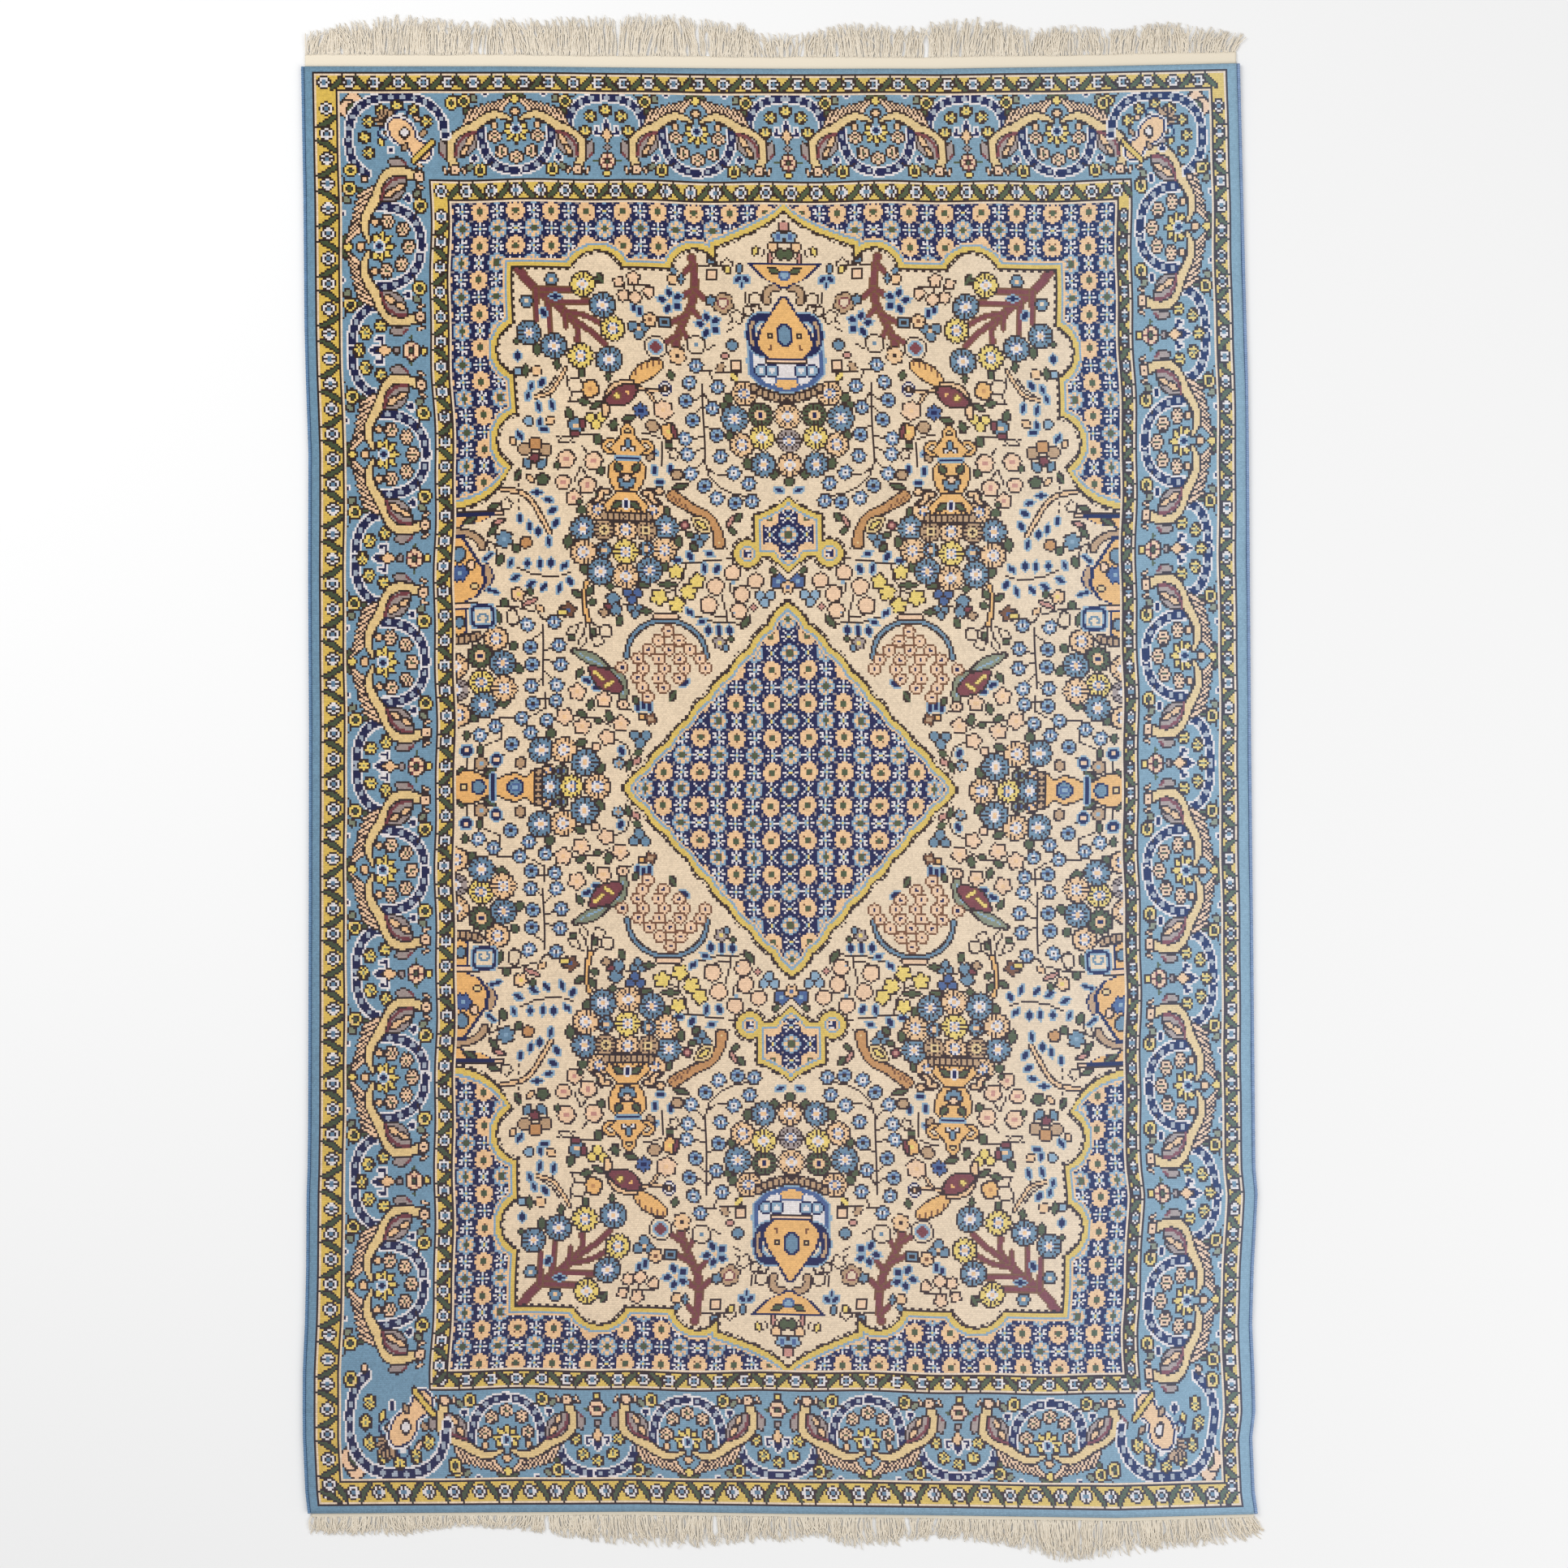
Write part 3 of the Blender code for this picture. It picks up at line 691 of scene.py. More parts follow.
SPRAYS = (
    ("star", 58, 251), ("star", 39, 239), ("three", 75, 236, 3.0, "steel", "apricot"),
    ("three", 99, 189, 2.8, "lemon"), ("three", 45.5, 128.5, 2.4, "steel"),
    ("three", 11.5, 98.5, 2.8, "azure"), ("three", 77, 26, 2.9, "steel"),
    ("three", 79.5, 99.5, 2.6, "royal"), ("three", 78.5, 91.8, 2.2, "steel"),
    ("outline", 67, 227, 5.4, 4, "ivory", None, 0.1), ("dot", 67, 227, 2.9, "maroon", "azure"),
    ("outline", 56, 223, 4.2, 6, "apricot", "ink", 0.25), ("outline", 69, 241, 3.4, 5, "apricot", "brown"),
    ("outline", 61.5, 240, 3.0, 4, "steel", "ink", 0.4, 0.8),
    ("outline", 31, 250.3, 5.2, 6, "tan", "maroon", 0.2), ("dot", 31, 250.3, 2.0, "ivory", "maroon"),
    ("outline", 37.3, 251.5, 2.3, 5, "steel"), ("outline", 77, 262, 3.0, 5), ("outline", 82, 253, 2.8, 4),
    ("outline", 76, 252, 2.8, 4, "peach", None, 0.1), ("outline", 69, 255, 2.6, 3),
    ("outline", 84.5, 260, 2.4, 4), ("outline", 14.5, 252.5, 3.0, 5, "ivory"),
    ("outline", 18, 246, 2.4, 3, "ivory"), ("outline", 14, 247, 2.0, 4, "ivory"),
    ("outline", 24, 243, 3.0, 5, "ivory"), ("outline", 46, 229, 4.4, 5, "ivory", "steel", 0.12),
    ("dot", 27.5, 228.3, 2.4, "steel"), ("outline", 57, 262, 2.5, 3, "apricot"),
    ("leaf", 56.5, 266.5, 60, 4, "steel"), ("leaf", 52.5, 262.5, 90, 4.6, "steel"),
    ("outline", 37, 265, 2.6, 4, "peach", None, 0.1, 0.8), ("outline", 29.5, 270, 2.6, 5, "ivory"),
    ("leaf", 29, 267.5, 60, 4.5, "lemon"), ("dot", 37.5, 272.3, 1.4, "steel"),
    ("leaf", 23, 268, 85, 5, "steel"), ("leaf", 15, 277, 110, 4.4, "lemon"),
    ("leaf", 12, 276.5, 60, 3.4, "ivory"), ("leaf", 7.3, 273.5, 90, 5, "rose", 1.8),
    ("outline", 6, 279, 2.4, 3, "apricot"), ("leaf", 2, 275.5, 90, 6, "leaf", 3.4),
    ("outline", 3, 284.5, 3.0, 5, "azure", "royal"), ("outline", 0, 290, 2.6, 5, "rose"),
    ("leaf", 94, 262, 60, 6), ("leaf", 97, 260.5, 150, 4), ("leaf", 138, 229, 0, 3.4),
    ("leaf", 127.5, 225, 90, 6, "leaf", 3.4), ("leaf", 117.5, 217.5, 80, 5), ("leaf", 105, 213, 90, 4),
    ("leaf", 91.5, 211.5, 90, 4.5), ("outline", 119, 261.3, 2.8, 4, "steel", "apricot", 0.1, 0.8),
    ("outline", 132, 249.8, 2.8, 4, "steel", "ivory", 0.1, 0.8), ("dot", 62.5, 206, 2.9, "white", "navy"),
    ("dot", 62.5, 206, 1.1, "apricot"), ("leaf", 59.5, 213, 80, 5.6),
    ("outline", 75.5, 194, 3.6, 6, "royal", "navy", 0.3),
    ("outline", 63.8, 195, 4.6, 6, "peach", "apricot", 0.16),
    ("outline", 70, 186.5, 2.9, 4, "tan", None, 0.1), ("outline", 61.5, 184, 4.0, 4, "amber", "lemon", 0.12),
    ("leaf", 59, 184, 75, 7, "maroon", 1.8), ("leaf", 82, 190, 160, 6.4),
    ("leaf", 34, 217, 130, 5.4, "tan", 3), ("outline", 26, 218, 2.6, 4, "peach", None, 0.1, 0.8),
    ("leaf", 27, 212, 50, 5, "lemon"), ("leaf", 31.5, 223, 20, 4, "rose"),
    ("outline", 59.5, 172.5, 2.3, 5, "ivory"), ("leaf", 55.5, 156, 165, 7.4), ("leaf", 71, 153, 130, 4),
    ("leaf", 62, 177, 0, 4), ("outline", 57.5, 162, 2.4, 4, "tan", None, 0.1),
    ("outline", 71.5, 171, 1.9, 4, "tan"), ("outline", 66, 153.5, 1.8, 4, "apricot"),
    ("outline", 101, 205, 4.3, 4, "amber", "camel", 0.12),
    ("outline", 108.5, 207, 3.6, 4, "ivory", None, 0.1), ("leaf", 112.5, 192.3, 80, 6, "leaf", 3.4),
    ("leaf", 104.5, 198.5, 10, 6.4), ("leaf", 98.5, 196.5, 150, 6), ("leaf", 90, 186.5, 110, 6, "leaf", 3),
    ("leaf", 98.5, 179, 110, 6, "leaf", 3.4), ("leaf", 96.5, 163, 60, 5.4, "leaf", 3.4),
    ("leaf", 97, 151.5, 120, 6), ("outline", 109.5, 186, 3.8, 4, "steel", "apricot", 0.16),
    ("leaf", 106, 187, 90, 5, "maroon", 1.8), ("leaf", 110, 182, 0, 5, "maroon", 1.8),
    ("leaf", 122.5, 188.5, 140, 6, "apricot", 3.2), ("outline", 128, 214, 2.4, 4, "apricot"),
    ("leaf", 133.5, 214, 95, 6), ("dot", 137.3, 213.5, 1.8, "azure"), ("dot", 133.8, 188, 2.0, "azure"),
    ("outline", 114.5, 169, 4.2, 5, "peach", "rose", 0.12),
    ("outline", 100.5, 168, 4.2, 5, "peach", "rose", 0.12),
    ("outline", 115.5, 157, 3.5, 5, "peach", "rose", 0.12),
    ("outline", 103, 155.5, 4.0, 5, "peach", "rose", 0.12),
    ("outline", 110, 149, 3.6, 5, "peach", "rose", 0.12), ("leaf", 119, 165.5, 150, 3.6),
    ("leaf", 107, 147, 0, 3), ("leaf", 115, 179, 160, 7, "ivory"),
    ("outline", 136, 173.5, 2.8, 4, "tan", None, 0.1, 0.8),
    ("outline", 125.3, 173.5, 2.8, 4, "tan", None, 0.1, 0.8),
    ("outline", 130.5, 176.5, 3.0, 4, "camel", None, 0.1), ("leaf", 134.5, 166.2, 55, 6.4, "steel", 3.4),
    ("leaf", 126.8, 166.2, 125, 6.4, "steel", 3.4), ("dot", 130.8, 169.3, 1.9, "maroon"),
    ("outline", 126.3, 158.5, 3.0, 5, "leaf"), ("leaf", 142, 177.5, 60, 4.6, "apricot"),
    ("leaf", 139, 160, 120, 6), ("leaf", 132.5, 158.5, 50, 4.6, "apricot"), ("leaf", 151.5, 144, 165, 6),
    ("outline", 145, 145, 2.6, 5, "ivory"), ("outline", 53, 136, 2.3, 4, "maroon", "rose"),
    ("leaf", 29.5, 137.5, 120, 6, "rose", 1.7), ("leaf", 25.5, 139.5, 120, 5),
    ("leaf", 28.5, 132.5, 30, 4.6), ("leaf", 50.5, 131, 30, 5), ("leaf", 48.5, 124.5, 50, 5, "leaf", 2.8),
    ("leaf", 62.5, 143.2, 70, 5.4, "leaf", 3.6), ("leaf", 56.5, 127, 100, 7, "leaf", 3.4),
    ("leaf", 63.2, 114.7, 90, 5, "leaf", 3.4), ("leaf", 73.5, 105.2, 0, 6, "leaf", 2.6),
    ("leaf", 106, 142.6, 90, 4.4, "leaf", 4), ("leaf", 113, 126.5, 95, 7.4, "leaf", 3.8),
    ("leaf", 104, 112, 35, 6, "leaf", 3.2), ("leaf", 91, 103.5, 0, 5, "leaf", 2.8),
    ("leaf", 61.5, 105.5, 0, 8.4), ("leaf", 30, 201, 50, 5.4, "leaf", 4),
    ("leaf", 32.5, 197.4, 90, 4, "leaf", 3), ("leaf", 30.6, 181.5, 90, 5, "leaf", 2.8),
    ("leaf", 21.6, 167.5, 80, 6.4, "leaf", 4), ("leaf", 8, 162.2, 90, 6, "leaf", 3.4),
    ("leaf", 0, 158.6, 90, 5, "leaf", 5), ("outline", 57.5, 112, 3.6, 5, "lemon", None, 0.4),
    ("outline", 46.5, 106.8, 3.9, 5, "lemon", None, 0.4, 0.2),
    ("outline", 50.8, 101.5, 4.0, 5, "lemon", None, 0.4),
    ("outline", 66, 98.8, 4.2, 5, "lemon", None, 0.4, 0.9), ("outline", 57, 95, 3.9, 5, "lemon", None, 0.4),
    ("outline", 28.5, 111, 3.7, 5, "peach", None, 0.1), ("outline", 37, 104, 3.9, 5, "peach", None, 0.1),
    ("outline", 16.5, 107, 3.6, 5, "peach", None, 0.1), ("outline", 40.5, 94.5, 4.1, 5, "peach", None, 0.1),
    ("outline", 23.5, 100, 3.8, 5, "peach", None, 0.1), ("outline", 25, 91.7, 3.8, 5, "peach", None, 0.1),
    ("dot", 28, 106, 0.9, "azure", None), ("dot", 27.5, 90.5, 1.0, "azure", None),
    ("outline", 5, 107, 3.6, 5, "royal", "azure", 0.25), ("outline", 0, 104, 3.2, 5, "apricot", "royal"),
    ("leaf", 22, 85.8, 125, 7, "leaf", 2.8), ("leaf", 7.6, 112.6, 60, 4),
    ("leaf", 17.5, 93.5, 160, 3.4, "rose"), ("outline", 36, 75, 3.0, 5, "taupe", "lemon"),
    ("leaf", 33, 72.5, 90, 4.4, "steel"), ("leaf", 30, 77, 0, 3.6),
    ("leaf", 139.5, 122.5, 60, 5, "leaf", 2.8), ("leaf", 147.5, 116.5, 110, 6, "leaf", 2.8),
    ("leaf", 152, 122.5, 55, 8, "ivory", 2.4), ("outline", 146, 127, 4.3, 6, "steel", "azure", 0.3),
    ("leaf", 152, 131.5, 130, 6), ("leaf", 149, 136, 155, 7, "rose", 1.6),
    ("outline", 134.5, 125.8, 2.7, 7, "camel", None, 0.16),
    ("outline", 138.3, 99, 3.3, 5, "apricot", "lemon"), ("leaf", 132, 100.5, 30, 4),
    ("leaf", 132.8, 95, 155, 8, "rose", 1.7), ("leaf", 127.5, 92, 40, 4.6, "apricot"),
    ("outline", 141.8, 87, 2.6, 4, "ivory", None, 0.1, 0.4, 1.4), ("leaf", 149, 87, 85, 6),
    ("leaf", 145.5, 94.5, 120, 5, "leaf", 2.8), ("outline", 113, 91, 3.8, 5, "brown", "royal", 0.4),
    ("leaf", 116, 90, 0, 5, "lemon", 2.0), ("leaf", 108, 99.4, 30, 5.6),
    ("leaf", 101.3, 101, 130, 5, "leaf", 2.8), ("leaf", 100.5, 95.3, 160, 4.6),
    ("leaf", 111.5, 80.5, 140, 7, "ivory", 3), ("leaf", 106.5, 75, 110, 6, "ivory", 2.6),
    ("outline", 98.8, 75.5, 2.6, 4, "ivory"), ("outline", 94.5, 80.5, 3.0, 5, "ivory", None, 0.15),
    ("leaf", 112, 77, 20, 4), ("leaf", 101, 80, 60, 4.4), ("outline", 89.5, 97, 3.3, 5, "steel"),
    ("outline", 88.5, 91.8, 3.0, 5, "steel"), ("dot", 92.6, 93, 1.5, "maroon"),
    ("outline", 94.8, 90, 2.0, 4, "tan"), ("leaf", 87, 86, 120, 5.6, "leaf", 2.8), ("leaf", 73, 91.6, 0, 6),
    ("outline", 109, 48.8, 4.0, 5, "peach", "apricot", 0.32),
    ("outline", 95.5, 45, 3.8, 5, "peach", "apricot", 0.32),
    ("outline", 116, 36, 4.2, 5, "peach", "apricot", 0.32, 0.9),
    ("outline", 107, 31, 4.0, 5, "peach", "apricot", 0.32),
    ("outline", 87, 33, 3.8, 5, "peach", "apricot", 0.28),
    ("outline", 94, 25.5, 3.8, 5, "peach", None, 0.34, 0.1), ("leaf", 107.8, 58.5, 120, 5.6),
    ("leaf", 102.3, 42.5, 110, 6), ("leaf", 107, 37.5, 30, 5, "leaf", 2.8),
    ("leaf", 93, 36.5, 75, 6.4, "leaf", 3), ("leaf", 98.6, 34, 0, 4, "leaf", 2.8),
    ("dot", 75.8, 37, 1.5, "amber"), ("outline", 71.5, 36, 2.7, 4, "brown", "tan", 0.4),
    ("leaf", 79, 45.5, 60, 4), ("leaf", 60, 48, 120, 6), ("leaf", 82.3, 12, 100, 5.6),
    ("leaf", 78, 18.5, 160, 4.4), ("leaf", 78.5, 14, 130, 4.4, "rose"),
    ("outline", 87.6, 12.6, 2.6, 5, "azure", "tan"), ("leaf", 97, 9.8, 90, 6, "leaf", 5),
    ("leaf", 123, 27.8, 80, 5.4, "leaf", 4.4), ("leaf", 107.3, 22.4, 150, 5.6, "leaf", 3.4),
    ("leaf", 141.6, 72.4, 120, 5, "leaf", 3.6), ("leaf", 139, 61, 30, 6, "leaf", 3.6),
    ("leaf", 147, 43, 160, 6.4, "leaf", 3.2), ("leaf", 163.3, 35.4, 30, 6, "leaf", 3.6),
    ("outline", 99.5, 20.6, 1.9, 4, "peach"), ("outline", 158.4, 12, 3.1, 5, "tan", "azure", 0.1),
    ("leaf", 153.5, 7.6, 145, 7.4, "leaf", 2.6), ("leaf", 159, 19, 90, 5),
    ("leaf", 168, 8, 90, 4.6, "leaf", 3.4), ("leaf", 166.4, 26.4, 90, 4.6),
    ("outline", 138, 12.6, 2.4, 4, "tan", None, 0.1),
)


def tan_row(c, x, y, half, sag):
    """The row of small tan petals over a bouquet, sagging from its middle."""
    for at in np.arange(-half, half + 1, 2.8):
        c.disc(x + at, y + sag * at * at, 1.4, "tan", "ink", 1.3)


def great_vase(c):
    """The tall amber vase: a dish, a collar, a pear with a blue bud, straps, and a bowl of scrolls below."""
    c.urn(0, [(204.5, 3), (208, 13), (213, 18.5), (220, 19.5), (227, 19)], "royal", "azure")
    c.urn(0, [(206.5, 2), (210, 12), (214, 16), (219, 17), (227, 17)], "white")
    for side in (1, -1):
        for x in (13, 7.5):
            c.disc(side * x, 215.6, 2.9, "azure", "navy", rim_width=0.8)
            c.disc(side * x, 215.6, 1.4, "white")
        c.stroke(flip(bow(9, 234, 8.6, 9.4, 88, -80), 0, side), 4.2, "navy", "azure", 0.9)
        c.stroke(flip(bow(9, 234, 8.6, 9.4, 40, -30), 0, side), 1.7, "tan")
        c.stroke(flip(bow(3, 253.5, 6, 5, 90, -25), 0, side), 2.8, "tan", "ink")
    c.urn(0, [(206, 1), (208, 6), (211, 5)], "amber", "royal", 0.8)
    c.stroke([(-9.5, 220.3), (9.5, 220.3)], 1.6, "peach", "ink")
    c.urn(0, [(222, 9), (226, 13), (230, 14), (236, 12), (242, 8), (248, 4), (253, 1)], "amber", "navy", 1.2)
    c.urn(0, [(259, 1), (262, 8), (266, 13), (270, 17)], "amber", "navy", 1.4)
    for side in (1, -1):
        c.leaf(side * 5.4, 267, 25 * side, 5.4, 2.4, "leaf", "ink")
        c.disc(side * 7.6, 233.6, 0.9, "straw", "ink")
        c.leaf(side * 7.6, 227.4, 90 + 20 * side, 4.2, 1.6, "brown")
    c.disc(0, 234, 3.3, "steel", "navy", 1.5)
    c.disc(0, 264.6, 1.8, "azure", "royal")
    tan_row(c, 0, 201.2, 16.8, 0.018)


def ewer(c, x):
    """The middle vase: a finial, a scrolled shoulder, a belt, a flowered body and a spreading foot."""
    for side in (1, -1):
        c.stroke(flip(bow(9, 175.5, 3.2, 2.8, 150, -120), x, side), 1.3, "amber", "ink")
        c.stroke(flip(smooth([(9, 152), (13, 152), (13, 149), (16, 147)]), x, side), 1.3, "apricot", "ink")
    c.urn(x, [(171, 5), (174, 9), (178, 5.5), (182, 2.5), (184, 3.5), (187, 0.5)], "amber", "ink")
    c.urn(x, [(151, 4), (156, 7.5), (161, 9), (166, 8.5), (169, 5)], "amber", "ink")
    c.urn(x, [(141.5, 9), (145, 11), (148, 9), (152, 4)], "amber", "ink")
    for side in (1, -1):
        c.leaf(x + side * 4.6, 164.6, 90 - 20 * side, 5.2, 2.6, "leaf", "ink")
        c.leaf(x + side * 4.4, 145.6, 90 + 60 * side, 6, 2.4, "leaf", "ink")
        c.leaf(x + side * 2.2, 174.6, 90 + 45 * side, 3.4, 1.8, "white", "ink")
    c.stroke([(x - 5.6, 169.8), (x + 5.6, 169.8)], 1.3, "navy", "azure", 0.7)
    c.disc(x, 183.4, 0.8, "straw", "ink")
    c.disc(x, 177, 1.5, "steel", "ink", 1.2)
    c.bloom(x, 157.6, 4.0, 7, "steel", "ink", None, 1.6, None, "ink", 0.12, 0.2)
    c.disc(x, 159.6, 1.7, "peach", "ink")
    c.leaf(x, 146, 90, 4.6, 2.4, "navy", "white")
    tan_row(c, x, 139.4, 11.2, 0.004)


def side_jar(c):
    """A vase half hidden by the border, with its dish, collar, navy straps and a box of scrolls."""
    c.stroke([(147, 140.6), (176, 140.6)], 0.9, "peach", "ink")
    c.urn(176, [(134, 4), (136, 17), (139.5, 24)], "amber", "navy", 1.2)
    c.leaf(164, 137, 155, 7, 2.2, "leaf", "ink")
    c.stroke(bow(176, 122, -19, 9.6, 90, 5), 2.8, "tan", "ink")
    c.leaf(154.6, 107.6, 92, 14, 6.4, "tan", "navy")
    c.urn(176, [(95, 9), (98, 16), (105, 20), (112, 19), (119, 14), (128, 8)], "amber", "navy", 1.7)
    for middle, tip in ((155.6, 116.4), (152, 119.6)), ((153, 101), (149, 99.6)):
        c.stroke([middle, tip], 1.6, "navy", "azure", 0.9)
    c.disc(168.6, 119.6, 2.6, "steel", "ink", 1.3)
    c.bloom(168, 110, 4.0, 6, "royal", "navy", "azure", 1.4)
    c.disc(162.4, 114, 1.6, "peach", "ink", 1.2)
    c.disc(160.6, 103, 1.4, "straw", "ink")
    c.stroke([(160, 93), (176, 93)], 1.3, "peach", "ink")
    c.stroke(bow(157, 87.5, 5.4, 5.4, 0, 360, 5), 1.5, "navy", "azure", 0.8)
    c.stroke(bow(157, 86.6, 2.2, 2.2, -30, 230), 1.2, "steel")
    c.urn(176, [(77, 6), (80, 10), (91, 10)], "amber", "navy", 1.2)
    c.disc(169, 84.6, 2.3, "steel", "ink")
    tan_row(c, 171, 75.6, 11.2, 0.014)


def lying_vase(c):
    """A vase laid along the middle line: two bulbs with blue medallions and a navy belt between them."""
    c.urn(0, [
        (130, 9), (132, 8), (135, 4.5), (140, 7), (146, 5.5), (150, 3.4), (154, 3.4), (160, 7), (166, 8.4),
        (172, 5),
    ], "amber", "ink", lying=True)
    c.stroke([(152, -6), (152, 6)], 1.7, "navy", "azure", 0.9)
    for x, r in ((159.4, 3.0), (140.2, 3.6)):
        c.disc(x, 0, r, "steel", "navy")
    c.disc(140.2, 0, 1.5, "azure", "royal")
    c.disc(167, 0, 1.4, "straw", "ink")
    for y in (1.6, 4.6, 7.6):
        c.disc(128.4, y, 1.4, "tan", "ink")
    for x, y in ((166, 18.6), (150.5, 14)):
        c.disc(x, y, 3.9, "azure")
        c.disc(x, y, 2.9, "navy")
        c.disc(x, y, 1.2, "peach")


def blossom_hoop(c):
    """A hoop of blue line with a bar on top, over a lozenge of small blossoms set like bricks."""
    c.stroke(bow(63.5, 68, 20.5, 19, 0, 180, 2.0), 1.5, "steel", "ink")
    c.stroke([(68.6, 88.9), (57, 88.9)], 1.2, "peach", "ink")
    for row in range(8):
        count = row + 1 if row < 5 else 8 - row
        middle = 62.2 if row < 4 else 62.2 + 2.65 * (row - 3)
        for number in range(count):
            x = middle + (number - (count - 1) / 2) * 10.6
            c.bloom(x, 81.6 - 4.9 * row, 2.7, 7, "peach", "brown", "navy", 0.8, None, notch=0.16)


def birds(c):
    """Three birds on the ground: a long maroon one, a camel one with a bowed neck, and a grey-winged one."""
    c.limb(smooth([(66, 218, 5), (73, 214, 8), (80, 208, 3)]), "amber", "ink")
    for x in range(66, 80, 3):
        c.stroke([(x, 221 - (x - 66) ** 2 / 26), (x - 1, 217.4 - (x - 66) ** 2 / 26)], 0.8, "brown")
    c.limb(smooth([(80, 208, 2.6), (88, 206, 3.6), (92, 200, 3.6), (94, 192, 2.6)]), "apricot", "ink")
    c.limb(smooth([(77.6, 206, 2), (84, 202, 9), (91, 199, 4)]), "maroon", "ink")
    c.disc(87.4, 201.4, 1.3, "lemon", "brown")
    c.disc(81.6, 203.4, 1.0, "amber")
    c.stroke([(76.6, 206), (71, 204.4), (65.6, 205)], 0.9, "apricot", "ink", 0.8)
    c.stroke([(72, 204.4), (68.4, 199.6)], 0.9, "apricot", "ink", 0.8)
    bowed = smooth([(59, 151, 5.4), (50, 145, 4), (41, 140, 3.6), (36.5, 133, 3.6), (35.5, 126, 5)])
    c.limb(bowed, "camel", "ink")
    for at in range(4):
        c.stroke([(61 - 2.6 * at, 152 - 1.3 * at), (59 - 2.4 * at, 149 - 1.6 * at)], 0.8, "brown")
    c.leaf(44.4, 136, 40, 12, 6.4, "straw", "ink")
    c.leaf(44.4, 136, 40, 7, 2.0, "lemon", "ink")
    c.disc(35.4, 126.4, 0.8, "straw")
    c.stroke([(33.6, 124.6), (31, 123.4)], 0.9, "ink")
    c.limb(smooth([(111, 70, 1.4), (102, 66, 5.4), (92, 59.6, 2)]), "sage", "ink")
    for at in range(4):
        c.stroke([(108.4 - 3.4 * at, 69 - 1.6 * at), (103 - 2.6 * at, 65.4 - 1.2 * at)], 0.7, "azure")
    c.limb(smooth([(93, 60, 3), (87.5, 57, 4), (85.4, 51, 3.8), (85.6, 44, 3.4)]), "sage", "ink")
    c.stroke([(88.6, 57.6), (86.2, 54), (85.4, 49)], 1.1, "azure")
    c.limb(smooth([(102, 61, 2), (95, 55.6, 9.4), (88.6, 51.6, 5)]), "maroon", "ink")
    c.stroke([(100, 59), (95.8, 55.4)], 1.6, "lemon", "brown", 0.7)
    c.stroke([(94.6, 51.8), (91, 54.4)], 1.5, "lemon", "brown", 0.7)
    c.disc(85.6, 43, 2.3, "peach", "ink")
    c.disc(85.6, 43, 0.7, "ink")
    c.stroke([(83.6, 41.4), (80.4, 39.8)], 0.9, "ink")


def plant_field(c):
    """Everything that grows on the ground of one quarter, the thin stems first and the vases last."""
    for places in STEMS:
        c.stroke(places, 0.9, "ink")
    for width, places in WOOD:
        c.stroke(smooth(places), width, "maroon", "brown", 0.8)
    c.stroke(smooth([(147, 152.6), (137, 151), (131, 146), (127, 139), (122.6, 131)]), 1.4, "apricot", "ink")
    c.stroke(smooth([(103, 105), (104.6, 97), (104, 90), (103, 86)]), 1.5, "amber", "ink")
    c.stroke(smooth([(113, 216), (117.6, 208), (122, 203), (129, 200.6)]), 1.1, "apricot", "ink", 0.8)
    for x, y in VINE:
        rosette(c, x, y)
    for x, y, turn in BLUE_LEAVES:
        halo(c, x, y, turn)
    for kind, *values in SPRAYS:
        KINDS[kind](c, *values)
    birds(c)
    blossom_hoop(c)
    for kind, *values in BOUQUETS:
        KINDS[kind](c, *values)
    great_vase(c)
    ewer(c, 83.0)
    side_jar(c)
    lying_vase(c)


